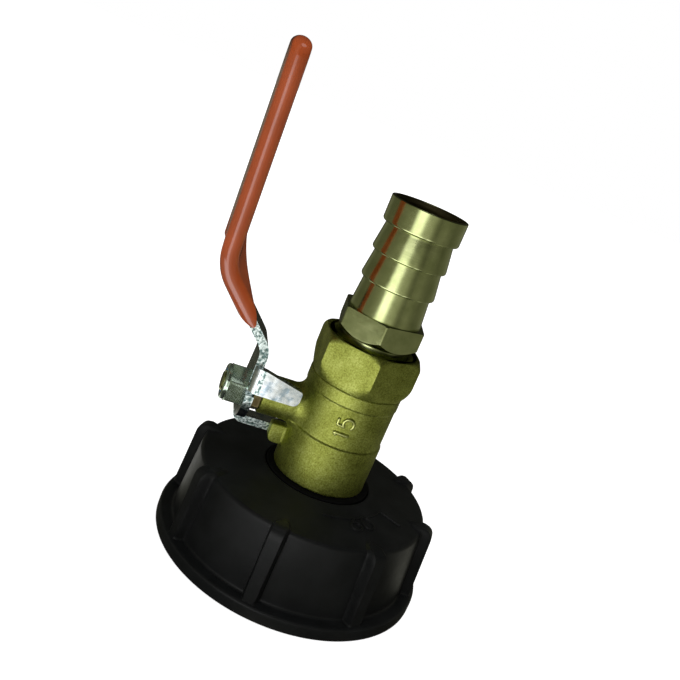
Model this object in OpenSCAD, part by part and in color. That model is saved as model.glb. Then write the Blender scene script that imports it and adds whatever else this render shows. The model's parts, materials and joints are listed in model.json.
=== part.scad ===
// Tank tap adapter: a moulded screw cap for a bulk tank's outlet, a brass
// ball valve with a cranked steel lever, and a barbed brass hose tail.
// All lengths are in millimetres. The origin is on the pipe axis, in the plane
// of the cap's open rim. +Z runs up the pipe and -X along the valve's stem.
// The lever is drawn in its open place and closes by a quarter turn about +X.

/* [Cap] */
// Outer radius of the flange round the open rim
flange_r = 40; // [39:0.5:44]
// Height of the flange's outer band
flange_h = 3.8; // [3:0.1:5]
// Outer radius of the cap's wall just above the flange
wall_r = 36; // [35:0.25:37]
// Outer radius of the cap's wall at its shoulder
shoulder_r = 34.3; // [33.5:0.1:35]
// Height of the shoulder above the open rim
shoulder_h = 24.5; // [22:0.5:28]
// Rounding of the shoulder's edge
shoulder_round = 1.1; // [0.5:0.1:2]
// Rise of the crown from the shoulder to the rim of the central recess
crown_rise = 1.9; // [1:0.1:3]
// Radius of the hole that takes the tank's coarse outlet thread
thread_r = 30.3; // [29:0.1:31]
// Depth of the threaded hole, up to the gasket's seat
thread_l = 13.2; // [10:0.1:13.4]
// Depth of the relief that the gasket's seat is cut behind the thread
seat_relief = 0.6; // [0.2:0.1:1]
// Thickness of the roof under the central recess
roof_t = 5; // [4:0.5:7]
// Radius of the central recess
recess_r = 15.9; // [15:0.1:18]
// Depth of the central recess below its rim
recess_depth = 2.0; // [1.5:0.1:3]

/* [Grip ribs] */
// Number of grip ribs round the cap
rib_count = 8; // [6:1:12]
// Direction of the first rib, in degrees from +X
rib_phase = 24; // [0:1:44]
// Width of a rib where it leaves the wall
rib_root_w = 4.4; // [3:0.1:5]
// Width of a rib along its outer edge
rib_edge_w = 3.2; // [2:0.1:4]
// How far a rib's foot stays back from the flange's edge
rib_setback = 1.1; // [0.5:0.1:2]
// How far a rib leans in from its foot to its knuckle
rib_lean = 1.4; // [0.5:0.1:2]
// Rounding of a rib's knuckle at the shoulder
rib_round = 3.2; // [2:0.1:4]
// Rise of the knuckle above the shoulder
rib_rise = 1.0; // [0.5:0.1:2]
// Radius at which a rib's tail dies out on the crown
rib_tail_r = 29.6; // [27:0.1:31]

/* [Tank gasket] */
// Outer radius of the flat gasket
gasket_r = 30.0; // [28.5:0.1:30.2]
// Inner radius of the flat gasket
gasket_bore_r = 22; // [18:0.5:25]
// Thickness of the flat gasket
gasket_t = 3.2; // [2:0.1:4]

/* [Inlet connector] */
// Radius of the half-inch pipe thread's crests
pipe_thread_r = 10.4; // [10:0.05:11]
// Width across flats of the connector's hexagon head
head_af = 26; // [24:0.5:28]
// Thickness of the connector's head
head_t = 4.6; // [3:0.1:6]
// Radius of the connector's bore
connector_bore_r = 7; // [5:0.25:8]
// Thickness of the washer under the connector's head
washer_t = 1.2; // [0.8:0.1:2]
// Thickness of the rubber ring in the recess, squeezed
ring_t = 2.2; // [2:0.1:3]
// Depth to which the connector is screwed into the valve
connector_grip = 7.6; // [5:0.1:8]

/* [Valve body] */
// Outer radius of the valve's lower barrel
barrel_r = 13.75; // [13.5:0.05:14.5]
// Length of the barrel below its waist
barrel_l = 14.4; // [12:0.2:16]
// Step between the lower barrel and the waist above it
waist_step = 0.45; // [0.1:0.05:0.6]
// Height of the waist's upper edge above the stem's axis
waist_up = 8; // [7:0.2:9]
// Height of the stem's axis above the valve's lower end
stem_up = 18.4; // [18:0.1:20]
// Height of the body's upper end above the stem's axis
body_up = 12; // [11.5:0.1:14]
// Radius of the neck that carries the stem
neck_r = 5.7; // [5.3:0.05:5.8]
// Distance of the neck's end from the pipe axis
neck_d = 24; // [23:0.25:26]
// Radius of the flow hole through both webs
flow_r = 6.4; // [5:0.1:7]
// Height of the stop lug's face
lug_h = 5.8; // [4:0.1:6.5]
// Distance of the lug's top below the stem's axis
lug_down = 7.3; // [6.5:0.1:7.6]
// Distance of the lug's outer end from the pipe axis
lug_d = 18.2; // [16.5:0.1:20]
// Thickness of the lug, along the way round the stem
lug_t = 3.6; // [3:0.1:5]

/* [Hexagon end] */
// Width across flats of the screwed hexagon end
end_af = 26.6; // [26:0.1:28]
// Height of the hexagon end above its seam
end_h = 12.2; // [11:0.1:14]
// Radius of the male spigot's thread
spigot_r = 11.35; // [11:0.05:11.6]
// Length of the spigot below the seam
spigot_l = 6.6; // [5:0.1:7]

/* [Ball and seats] */
// Radius of the ball
ball_r = 10.2; // [10:0.05:10.3]
// Radius of the hole through the ball
ball_bore_r = 6.25; // [5:0.05:6.5]
// Outer radius of a seat ring
seat_r = 9.35; // [9:0.05:9.6]
// Thickness of a seat ring
seat_t = 3.0; // [2.5:0.1:3.2]
// Distance of a seat ring's back from the ball's centre
seat_back = 9.1; // [9:0.05:9.3]

/* [Stem and packing] */
// Radius of the stem
stem_r = 3.5; // [3:0.05:3.6]
// Radius of the stem's inner collar
collar_r = 4.6; // [4.3:0.05:4.8]
// Thickness of the stem's inner collar
collar_t = 1.6; // [1:0.1:2]
// Thickness of the tongue that turns the ball
tongue_t = 3.0; // [2:0.1:4]
// Width of the tongue that turns the ball
tongue_w = 7.0; // [5:0.1:8]
// Thickness of the thrust washer
thrust_t = 0.8; // [0.5:0.1:1.2]
// Radius of the packing chamber
packing_r = 4.4; // [4.2:0.05:4.5]
// Thickness of one packing ring
packing_t = 2.0; // [1.5:0.1:2.5]
// Width across flats of the gland nut's head
gland_af = 10.0; // [9:0.1:10.4]
// Thickness of the gland nut's head
gland_t = 2.3; // [1.5:0.1:2.5]
// Length of the gland nut's shank in the neck
gland_l = 3.8; // [3:0.1:4.4]

/* [Lever] */
// Thickness of the lever's sheet
sheet_t = 2.4; // [2:0.1:2.6]
// Width of the lever's strip
strip_w = 12; // [10:0.5:14]
// Radius of the plate round the stem
plate_r = 8.2; // [7.5:0.1:9]
// Distance of the first tab's outer face from the stem axis
tab_out = 8.5; // [8.4:0.05:9]
// Height of the first tab at its fold
tab_h = 7.2; // [5:0.1:8]
// Height of the first tab at its free end
tab_end_h = 4.6; // [3.5:0.1:5]
// Height of the relief slot cut in the plate below the first tab's fold
fold_relief = 1.0; // [0.5:0.1:1.5]
// Distance of the tabs' ends from the pipe axis
tab_end_d = 14.7; // [14.6:0.05:16]
// Depth of the second tab's face below the stem axis
drop_tab = 11.7; // [11:0.1:12.5]
// Width of the second tab
drop_tab_w = 5.0; // [4:0.1:6]
// Inner radius of the sheet's folds
fold_r = 0.8; // [0.5:0.1:1.2]
// Distance from the stem axis up to the crank's lower bend
crank_up = 14; // [13:0.5:18]
// How far the crank carries the grip outwards
crank_out = 17.4; // [14:0.2:24]
// Rise of the crank from bend to bend
crank_rise = 18.2; // [16:0.2:26]
// Length of the straight grip above the upper bend
grip_l = 57.4; // [45:0.2:80]
// How far the grip leans back in over its length
grip_lean = -0.6; // [-2:0.1:4]
// Thickness of the vinyl dip
vinyl_t = 1.25; // [0.6:0.05:1.4]
// Height of the dip's edge above the lower bend, on the near side
dip_near = 5.5; // [3:0.5:7]
// Height of the dip's edge above the lower bend, on the far side
dip_far = 26; // [5:0.5:28]

/* [Lever nut] */
// Width across flats of the lever nut
nut_af = 10.3; // [9:0.1:11]
// Height of the lever nut without its collar
nut_h = 4.6; // [4:0.1:5.5]
// Height of the nut's rolled collar
nut_collar_h = 1.3; // [0.8:0.1:2]
// Turn of the nut about the stem, from a corner straight up
nut_turn = -15; // [-30:5:30]
// Radius of the stem's threaded end
stem_thread_r = 2.95; // [2.5:0.05:3]

/* [Hose tail] */
// Width across flats of the tail's hexagon
tail_af = 22; // [21:0.5:24]
// Height of the tail's hexagon
tail_hex_h = 6.8; // [5:0.1:8]
// Bare thread left showing under the tail's hexagon
tail_gap = 1.6; // [0.5:0.1:3]
// Radius of the barbs' ridges
ridge_r = 10.7; // [10.2:0.05:11]
// Radius of the necks between the barbs
neck_barb_r = 9.55; // [9.5:0.05:10]
// Distance from one barb to the next
barb_pitch = 7.85; // [6:0.05:9]
// Length of the plain land at the tail's mouth
land_l = 6.0; // [4:0.1:8]
// Height of the root between the hexagon and the first neck
root_l = 8.2; // [7:0.1:12]
// Radius of the bore through the tail's barbs
tail_bore_r = 8.7; // [8:0.05:9]
// Width of the flat rim between the mouth's countersink and its outer edge
mouth_rim = 0.45; // [0.2:0.05:1.2]
// Radius of the tail's narrow bore below its hexagon
tail_inner_r = 7.5; // [5:0.1:8.5]

/* [Fits] */
// Radial clearance of parts that turn in each other
run_gap = 0.05; // [0.02:0.01:0.08]
// Clearance of parts that lie loosely beside each other
loose_gap = 0.3; // [0.2:0.05:0.4]

/* [Hidden] */
$fn = 96;
eps = 0.01;

// Heights up the pipe axis, each built on the one before
crown_z = shoulder_h + crown_rise;
recess_z = crown_z - recess_depth;
roof_z = recess_z - roof_t;
valve_z = recess_z + ring_t;
stem_z = valve_z + stem_up;
seam_z = stem_z + body_up;
hex_end_z = seam_z + end_h;
tail_hex_z = hex_end_z + tail_gap;
tail_root_z = tail_hex_z + tail_hex_h;

// Barbs of the hose tail
barb_count = 2;
first_neck_z = tail_root_z + root_l;
mouth_land_z = first_neck_z + barb_count * barb_pitch;
tail_top_z = mouth_land_z + land_l + 1;
lip = 0.95;
root_r = neck_barb_r + 0.75;
land_r = ridge_r + 0.1;
mouth_edge = 0.25;
tail_mouth_r = land_r - mouth_edge - mouth_rim;

// Valve cavity
waist_r = barrel_r - waist_step;
upper_r = barrel_r - waist_step / 2;
waist_low_z = valve_z + barrel_l;
waist_high_z = stem_z + waist_up;
cavity_r = ball_r + 0.4;
seat_pocket_r = seat_r + run_gap;
pocket_l = 2.2;
inlet_hole_z = valve_z + connector_grip + 0.6;
outlet_hole_z = stem_z + seat_back + 1.3;
thread_gap = 0.05;

// Stations along the stem, as distances from the pipe axis
collar_d = cavity_r + 0.2;
thrust_d = collar_d + collar_t;
shelf_d = thrust_d + thrust_t;
gland_d = neck_d - gland_l;
packing_d = gland_d - 2 * packing_t;
gland_head_d = neck_d + 2 * run_gap;
plate_d = gland_head_d + gland_t + loose_gap;
plate_out_d = plate_d + sheet_t;
fold_out = fold_r + sheet_t;
nut_out_d = plate_out_d + nut_h + nut_collar_h;
stem_end_d = nut_out_d + 0.5;
slot_depth = 2.6;
flat_half = stem_thread_r - 0.7;

// Stop lug under the neck, and how far each tab's edge lies from the stem's
// plane to meet it at an end of the quarter turn
lug_top_z = stem_z - lug_down;
tab_clear = lug_t / 2 + loose_gap;

// Centre line of the strip, in the plane of the stem and the pipe
mid_d = plate_d + sheet_t / 2;
bend_low = [mid_d, stem_z + crank_up];
bend_high = bend_low + [crank_out, crank_rise];
grip_tip = bend_high + [-grip_lean, grip_l];
low_bend_r = 6;
high_bend_r = 12.4;
path_foot = [mid_d, stem_z];

// Radius of a hexagon's corners from its width across flats
function corner_r(af) = af / sqrt(3);
// Height of the crown at radius r: steep by the recess, flat by the shoulder
function crown_at(r) = crown_z - crown_rise
    * pow(max(0, r - recess_r) / (shoulder_r - shoulder_round - recess_r), 0.65);
function arc(c, r, a0, a1, n) =
    [for (i = [0:n]) c + r * [cos(a0 + (a1 - a0) * i / n), sin(a0 + (a1 - a0) * i / n)]];
function unit(v) = v / norm(v);
function left_of(v) = [-v.y, v.x];
// Points of one edge of a strip whose centre line bends at p with radius r:
// side is the signed distance of the edge from the centre line
function bend_edge(a, p, b, r, side, n = 6) =
    let (u = unit(p - a), v = unit(b - p), turn = atan2(u.x * v.y - u.y * v.x, u * v),
         s = sign(turn), c = p - u * r * tan(abs(turn) / 2) + left_of(u) * r * s,
         start = atan2(-left_of(u).y * s, -left_of(u).x * s))
    [for (i = [0:n]) c + (r - side * s)
        * [cos(start + turn * i / n), sin(start + turn * i / n)]];
function path_edge(side, end_extra) =
    let (last = unit(grip_tip - bend_high), first = unit(bend_low - path_foot))
    concat([path_foot + left_of(first) * side],
        bend_edge(path_foot, bend_low, bend_high, low_bend_r, side),
        bend_edge(bend_low, bend_high, grip_tip, high_bend_r, side),
        [grip_tip + last * end_extra + left_of(last) * side]);
function reversed(list) = [for (i = [len(list) - 1:-1:0]) list[i]];

// Turn a drawing of (distance along the stem, height) into the stem's plane
module stem_plane(width, y0) {
    translate([0, y0 + width, 0]) rotate([90, 0, 0]) mirror([1, 0, 0])
        linear_extrude(height = width) children();
}

// Cylinder about the stem axis, from distance d0 to distance d1
module along_stem(d0, d1, r, r2 = -1) {
    translate([-d0, 0, stem_z]) rotate([0, -90, 0])
        cylinder(h = d1 - d0, r1 = r, r2 = r2 < 0 ? r : r2);
}

module hexagon(af, h) {
    cylinder(h = h, r = corner_r(af), $fn = 6);
}

module tube(z0, z1, r_out, r_in) {
    translate([0, 0, z0]) difference() {
        cylinder(h = z1 - z0, r = r_out);
        translate([0, 0, -1]) cylinder(h = z1 - z0 + 2, r = r_in);
    }
}

module cap_shell() {
    edge = 0.7;
    top_r = shoulder_r - shoulder_round;
    crown_steps = 6;
    rotate_extrude() polygon(concat(
        [[thread_r, 0], [flange_r - edge, 0], [flange_r, edge],
         [flange_r, flange_h - edge], [flange_r - edge, flange_h], [wall_r, flange_h]],
        arc([top_r, shoulder_h - shoulder_round], shoulder_round, 0, 90, 4),
        [for (i = [1:crown_steps]) let (r = top_r + (recess_r - top_r) * i / crown_steps)
            [r, crown_at(r)]],
        [[recess_r, recess_z], [pipe_thread_r + loose_gap, recess_z],
         [pipe_thread_r + loose_gap, roof_z], [thread_r + seat_relief, roof_z],
         [thread_r + seat_relief, thread_l], [thread_r, thread_l]]));
}

// One grip rib along +X: its side outline cut by its tapering plan
module rib() {
    foot_r = flange_r - rib_setback;
    knuckle = [foot_r - rib_lean - rib_round, shoulder_h + rib_rise - rib_round];
    inside_r = thread_r + 2.4;
    tip_w = 0.8;
    intersection() {
        rotate([90, 0, 0]) linear_extrude(height = rib_root_w, center = true) polygon(concat(
            [[inside_r, flange_h - 0.4], [foot_r, flange_h - 0.4]],
            arc(knuckle, rib_round, 0, 90, 6),
            [[rib_tail_r, crown_at(rib_tail_r) - 0.15],
             [rib_tail_r, shoulder_h - 1.5], [inside_r, shoulder_h - 1.5]]));
        linear_extrude(height = crown_z + rib_round) polygon([
            [rib_tail_r, -tip_w / 2], [shoulder_r - 1, -rib_root_w / 2],
            [flange_r, -rib_edge_w / 2], [flange_r, rib_edge_w / 2],
            [shoulder_r - 1, rib_root_w / 2], [rib_tail_r, tip_w / 2]]);
    }
}

module cap() {
    color([0.07, 0.07, 0.08]) union() {
        cap_shell();
        for (i = [0:rib_count - 1]) rotate([0, 0, rib_phase + i * 360 / rib_count]) rib();
    }
}

module tank_gasket() {
    color([0.1, 0.1, 0.1]) tube(roof_z - gasket_t, roof_z, gasket_r, gasket_bore_r);
}

module connector_washer() {
    color([0.85, 0.85, 0.82])
        tube(roof_z - washer_t, roof_z, corner_r(head_af) - 1, pipe_thread_r + loose_gap);
}

// Hollow bolt that clamps the cap's roof against the valve's lower end
module inlet_connector() {
    low_z = roof_z - washer_t - head_t;
    top_z = valve_z + connector_grip;
    color([0.78, 0.68, 0.42]) difference() {
        union() {
            intersection() {
                translate([0, 0, low_z]) hexagon(head_af, head_t);
                translate([0, 0, low_z]) cylinder(h = head_t + eps, r1 = head_af / 2 + 0.4,
                    r2 = head_af / 2 + head_t + 0.4);
            }
            translate([0, 0, low_z + head_t - eps])
                cylinder(h = top_z - low_z - head_t - 0.8 + eps, r = pipe_thread_r);
            translate([0, 0, top_z - 0.8])
                cylinder(h = 0.8, r1 = pipe_thread_r, r2 = pipe_thread_r - 0.8);
        }
        translate([0, 0, low_z - 1]) cylinder(h = top_z - low_z + 2, r = connector_bore_r);
    }
}

module sealing_ring() {
    color([0.05, 0.05, 0.05])
        tube(recess_z, valve_z, recess_r - loose_gap, pipe_thread_r + loose_gap);
}

// Flared neck that carries the stem, drawn about the stem axis
module neck() {
    flare = [[9, 7.6], [12.4, 7.2], [13.1, 6.4], [13.8, neck_r + 0.2], [14.5, neck_r]];
    translate([0, 0, stem_z]) rotate([0, -90, 0]) rotate_extrude() polygon(concat(
        [[0, flare[0].x]], [for (p = flare) [p.y, p.x]],
        [[neck_r, neck_d - 0.4], [neck_r - 0.4, neck_d], [0, neck_d]]));
}

module stop_lug() {
    top_round = 0.8;
    heel_round = 2.4;
    root_d = cavity_r + 0.9;
    stem_plane(lug_t, -lug_t / 2) polygon(concat(
        [[root_d, lug_top_z - lug_h], [root_d, lug_top_z]],
        arc([lug_d - top_round, lug_top_z - top_round], top_round, 90, 0, 4),
        arc([lug_d - heel_round, lug_top_z - lug_h + heel_round], heel_round, 0, -90, 6)));
}

module valve_body() {
    chamfer = 0.6;
    ramp = 0.25;
    color([0.66, 0.6, 0.24]) difference() {
        union() {
            rotate_extrude() polygon([
                [0, valve_z], [barrel_r - chamfer, valve_z], [barrel_r, valve_z + chamfer],
                [barrel_r, waist_low_z - ramp], [waist_r, waist_low_z + ramp],
                [waist_r, waist_high_z - ramp], [upper_r, waist_high_z + ramp],
                [upper_r, seam_z], [0, seam_z]]);
            neck();
            stop_lug();
        }
        translate([0, 0, valve_z - 1])
            cylinder(h = inlet_hole_z - valve_z + 1, r = pipe_thread_r + thread_gap);
        translate([0, 0, inlet_hole_z - 1]) cylinder(h = 10, r = flow_r);
        translate([0, 0, stem_z - seat_back]) cylinder(h = pocket_l + 1, r = seat_pocket_r);
        translate([0, 0, stem_z - seat_back + pocket_l])
            cylinder(h = body_up + seat_back, r = cavity_r);
        translate([0, 0, seam_z - spigot_l])
            cylinder(h = spigot_l + 1, r = spigot_r + thread_gap);
        along_stem(0, shelf_d, collar_r + 2 * run_gap);
        along_stem(shelf_d - 1, packing_d + 1, stem_r + run_gap);
        along_stem(packing_d, neck_d + 1, packing_r);
    }
}

// Hexagon screwed into the body, which holds the outlet seat and takes the tail
module hex_end() {
    flat_r = end_af / 2;
    low_z = seam_z - spigot_l;
    color([0.66, 0.6, 0.24]) difference() {
        union() {
            intersection() {
                translate([0, 0, seam_z]) rotate([0, 0, 30]) hexagon(end_af, end_h);
                translate([0, 0, seam_z])
                    cylinder(h = end_h, r1 = upper_r, r2 = upper_r + end_h * tan(30));
                translate([0, 0, seam_z])
                    cylinder(h = end_h, r1 = flat_r + 0.9 + end_h, r2 = flat_r + 0.9);
            }
            translate([0, 0, low_z]) cylinder(h = spigot_l + eps, r = spigot_r);
        }
        translate([0, 0, low_z - 1])
            cylinder(h = stem_z + seat_back - low_z + 1, r = seat_pocket_r);
        translate([0, 0, low_z]) cylinder(h = end_h, r = flow_r);
        translate([0, 0, outlet_hole_z])
            cylinder(h = hex_end_z, r = pipe_thread_r + thread_gap);
        translate([0, 0, hex_end_z - 1])
            cylinder(h = 1.2, r1 = pipe_thread_r, r2 = pipe_thread_r + 1.2);
    }
}

// Seat ring turned to the ball's sphere; up is 1 above the ball and -1 below it
module seat(up) {
    low_z = up > 0 ? seat_back - seat_t : -seat_back;
    color([0.93, 0.93, 0.9]) translate([0, 0, stem_z]) difference() {
        translate([0, 0, low_z]) cylinder(h = seat_t, r = seat_r);
        translate([0, 0, low_z - 1]) cylinder(h = seat_t + 2, r = flow_r);
        sphere(r = ball_r + run_gap);
    }
}

module inlet_seat() {
    seat(-1);
}

module outlet_seat() {
    seat(1);
}

module stem_ring(d0, d1, r_out, r_in) {
    difference() {
        along_stem(d0, d1, r_out);
        along_stem(d0 - 1, d1 + 1, r_in);
    }
}

module thrust_washer() {
    color([0.93, 0.93, 0.9]) stem_ring(thrust_d, shelf_d, collar_r, stem_r + run_gap);
}

module packing_ring_inner() {
    color([0.93, 0.93, 0.9])
        stem_ring(packing_d, packing_d + packing_t, packing_r, stem_r + run_gap);
}

module packing_ring_outer() {
    color([0.2, 0.2, 0.2])
        stem_ring(packing_d + packing_t, gland_d, packing_r, stem_r + run_gap);
}

module gland_nut() {
    color([0.78, 0.68, 0.42]) difference() {
        union() {
            along_stem(gland_d, gland_head_d + eps, packing_r);
            translate([-gland_head_d, 0, stem_z]) rotate([0, -90, 0])
                hexagon(gland_af, gland_t);
        }
        along_stem(gland_d - 1, gland_head_d + gland_t + 1, stem_r + run_gap);
    }
}

module ball() {
    slot_w = tongue_t + 4 * run_gap;
    color([0.8, 0.8, 0.82]) translate([0, 0, stem_z]) difference() {
        sphere(r = ball_r);
        translate([0, 0, -ball_r - 1]) cylinder(h = 2 * ball_r + 2, r = ball_bore_r);
        translate([-ball_r - 1, -ball_r - 1, -slot_w / 2])
            cube([slot_depth + 1, 2 * ball_r + 2, slot_w]);
    }
}

// Stem: tongue in the ball's slot, collar, shank, two flats and a threaded end
module stem() {
    tongue_d = ball_r - slot_depth + 0.2;
    color([0.78, 0.68, 0.42]) union() {
        intersection() {
            along_stem(tongue_d, collar_d + eps, collar_r);
            translate([-collar_d - 1, -tongue_w / 2, stem_z - tongue_t / 2])
                cube([collar_d, tongue_w, tongue_t]);
        }
        along_stem(collar_d, thrust_d, collar_r);
        along_stem(thrust_d - eps, plate_d, stem_r);
        intersection() {
            along_stem(plate_d - eps, plate_out_d, stem_thread_r);
            translate([-plate_out_d - 1, -flat_half, stem_z - stem_r])
                cube([sheet_t + 3, 2 * flat_half, 2 * stem_r]);
        }
        along_stem(plate_out_d - eps, stem_end_d - 0.5, stem_thread_r);
        along_stem(stem_end_d - 0.5, stem_end_d, stem_thread_r, stem_thread_r - 0.5);
    }
}

// A drawing across the strip, pushed through the whole height of the part's side
module across_strip() {
    reach = 2 * (mid_d + crank_out);
    translate([-reach, 0, 0]) rotate([90, 0, 90]) linear_extrude(height = reach) children();
}

// The bent strip; extra is added on every side, and its end is rounded
module strip(extra) {
    half_t = sheet_t / 2 + extra;
    half_w = strip_w / 2 + extra;
    tip_z = grip_tip.y + extra;
    intersection() {
        stem_plane(2 * half_w, -half_w)
            polygon(concat(path_edge(half_t, extra), reversed(path_edge(-half_t, extra))));
        across_strip() union() {
            translate([-half_w, 0]) square([2 * half_w, tip_z - half_w]);
            translate([0, tip_z - half_w]) circle(r = half_w);
        }
    }
}

// A quarter fold between two sheets, about an axis along +Z, h high
module fold(h) {
    intersection() {
        difference() {
            cylinder(h = h, r = fold_out, $fn = 48);
            translate([0, 0, -1]) cylinder(h = h + 2, r = fold_r, $fn = 48);
        }
        translate([-fold_out - 1, -fold_out - 1, 0])
            cube([fold_out + 1 + eps, fold_out + 1 + eps, h]);
    }
}

// First stop tab, folded from the plate's near edge along the neck
module near_tab() {
    low = stem_z + tab_clear;
    fold_d = plate_out_d - fold_out;
    top_round = 0.8;
    heel_round = 1.8;
    translate([-fold_d, -tab_out + fold_out, low]) fold(tab_h);
    stem_plane(sheet_t, -tab_out) polygon(concat(
        [[fold_d + eps, low], [fold_d + eps, low + tab_h]],
        arc([tab_end_d + top_round, low + tab_end_h - top_round], top_round, 90, 180, 4),
        arc([tab_end_d + heel_round, low + heel_round], heel_round, 180, 270, 4)));
    translate([-plate_out_d, -tab_out + fold_out - eps, low])
        cube([sheet_t, tab_out - fold_out + eps, tab_h]);
}

// Second stop tab, folded from the plate's lower edge behind the lug
module drop_stop() {
    fold_d = plate_out_d - fold_out;
    low = stem_z - drop_tab;
    translate([-fold_d, tab_clear, low + fold_out]) rotate([-90, 0, 0]) mirror([0, 1, 0])
        fold(drop_tab_w);
    translate([-fold_d - eps, tab_clear, low])
        cube([fold_d - tab_end_d - 1.3, drop_tab_w, sheet_t]);
    translate([-plate_out_d, tab_clear, low + fold_out - eps])
        cube([sheet_t, drop_tab_w, drop_tab - fold_out + eps]);
}

// Plate round the stem, cut back beside the first tab's fold
module lever_plate() {
    low = stem_z + tab_clear - fold_relief;
    translate([-plate_out_d, 0, 0]) rotate([90, 0, 90]) linear_extrude(height = sheet_t)
        difference() {
            union() {
                translate([0, stem_z]) circle(r = plate_r);
                polygon([[-strip_w / 2, stem_z + crank_up - 4],
                    [strip_w / 2, stem_z + crank_up - 4],
                    [plate_r - 0.2, stem_z + 3], [plate_r - 0.2, stem_z],
                    [-strip_w / 2, stem_z]]);
            }
            translate([-plate_r - 1, low])
                square([plate_r + 1 - tab_out + fold_out, fold_relief + tab_h]);
        }
}

module lever() {
    color([0.72, 0.74, 0.76]) difference() {
        union() {
            intersection() {
                strip(0);
                across_strip() translate([-strip_w, stem_z + plate_r / 2])
                    square([2 * strip_w, grip_tip.y]);
            }
            lever_plate();
            near_tab();
            drop_stop();
        }
        intersection() {
            along_stem(plate_d - 1, plate_out_d + 1, stem_thread_r + run_gap);
            translate([-plate_out_d - 2, -flat_half - run_gap, stem_z - stem_r])
                cube([sheet_t + 4, 2 * (flat_half + run_gap), 2 * stem_r]);
        }
    }
}

// Vinyl dip round the strip, cut off along the slanting edge of the dip
module grip() {
    half_w = strip_w / 2 + vinyl_t;
    slope = (dip_far - dip_near) / (2 * half_w);
    base = bend_low.y;
    color([0.8, 0.3, 0.12]) difference() {
        strip(vinyl_t);
        strip(0);
        across_strip() polygon([
            [-half_w - 1, 0], [half_w + 1, 0], [half_w + 1, base + dip_far + slope],
            [-half_w - 1, base + dip_near - slope]]);
    }
}

module lever_nut() {
    bore_r = stem_thread_r + run_gap;
    collar = nut_af / 2 - 0.1;
    color([0.75, 0.76, 0.76]) difference() {
        union() {
            intersection() {
                translate([-plate_out_d, 0, stem_z]) rotate([0, -90, 0])
                    rotate([0, 0, nut_turn]) hexagon(nut_af, nut_h);
                along_stem(plate_out_d, plate_out_d + nut_h, nut_af / 2 + 0.4 + nut_h,
                    nut_af / 2 + 0.4);
            }
            along_stem(plate_out_d + nut_h - eps, nut_out_d - 0.5, collar);
            along_stem(nut_out_d - 0.5, nut_out_d, collar, collar - 0.5);
        }
        along_stem(plate_out_d - 1, nut_out_d + 1, bore_r);
        along_stem(plate_out_d + nut_h - 0.4, nut_out_d - 0.3, bore_r + 0.9);
    }
}

module nut_insert() {
    bore_r = stem_thread_r + run_gap;
    color([0.25, 0.4, 0.7])
        stem_ring(plate_out_d + nut_h - 0.3, nut_out_d - 0.4, bore_r + 0.85, bore_r);
}

// Neck and rounded lip of a ridge of radius r, whose neck is at height z
function lip_points(r, z) = concat([[neck_barb_r, z]], arc([r - lip, z + lip], lip, -90, 0, 4));

// The ridge lies below each neck, so a hose slides on from the mouth
module hose_tail() {
    sink = tail_mouth_r - tail_bore_r;
    top_ease = 0.3;
    barb_points = [for (i = [0:barb_count - 1]) let (z = first_neck_z + i * barb_pitch)
        for (p = lip_points(ridge_r, z)) p];
    color([0.8, 0.74, 0.52]) difference() {
        union() {
            rotate_extrude() polygon(concat(
                [[0, outlet_hole_z + 1.5], [pipe_thread_r - 0.8, outlet_hole_z + 1.5],
                 [pipe_thread_r, outlet_hole_z + 2.3], [pipe_thread_r, tail_hex_z + 1],
                 [root_r, tail_hex_z + 1], [root_r, tail_root_z]],
                barb_points, lip_points(land_r, mouth_land_z),
                [[land_r, tail_top_z - mouth_edge], [land_r - mouth_edge, tail_top_z],
                 [0, tail_top_z]]));
            intersection() {
                translate([0, 0, tail_hex_z]) rotate([0, 0, 22]) hexagon(tail_af, tail_hex_h);
                translate([0, 0, tail_hex_z])
                    cylinder(h = tail_hex_h, r1 = tail_af / 2, r2 = tail_af / 2 + tail_hex_h);
                translate([0, 0, tail_hex_z])
                    cylinder(h = tail_hex_h, r1 = corner_r(tail_af) - top_ease + tail_hex_h,
                        r2 = corner_r(tail_af) - top_ease);
            }
        }
        translate([0, 0, outlet_hole_z]) cylinder(h = tail_top_z, r = tail_inner_r);
        translate([0, 0, tail_root_z + 2])
            cylinder(h = 2, r1 = tail_inner_r, r2 = tail_bore_r);
        translate([0, 0, tail_root_z + 4]) cylinder(h = tail_top_z, r = tail_bore_r);
        translate([0, 0, tail_top_z - sink])
            cylinder(h = sink + eps, r1 = tail_bore_r, r2 = tail_mouth_r);
    }
}

cap();
tank_gasket();
inlet_connector();
connector_washer();
sealing_ring();
valve_body();
hex_end();
inlet_seat();
outlet_seat();
thrust_washer();
packing_ring_inner();
packing_ring_outer();
gland_nut();
hose_tail();
ball();
stem();
lever();
grip();
lever_nut();
nut_insert();
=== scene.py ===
# %% [markdown]
# # Tank tap adapter
# A moulded black screw cap carries a forged brass ball valve, and the valve
# carries a turned brass hose tail. A zinc-plated lever with an orange vinyl
# dip turns the ball.
#
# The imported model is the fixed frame. It gives every piece its place, and the
# cells below give the pieces that show their rounded edges and their finish.
# Outlines are written in millimetres, as on a workshop drawing, and become
# metres where a mesh is made. Points closer than WELD count as one.

import json
import math

import bmesh
import bpy
from mathutils import Matrix, Vector


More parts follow.
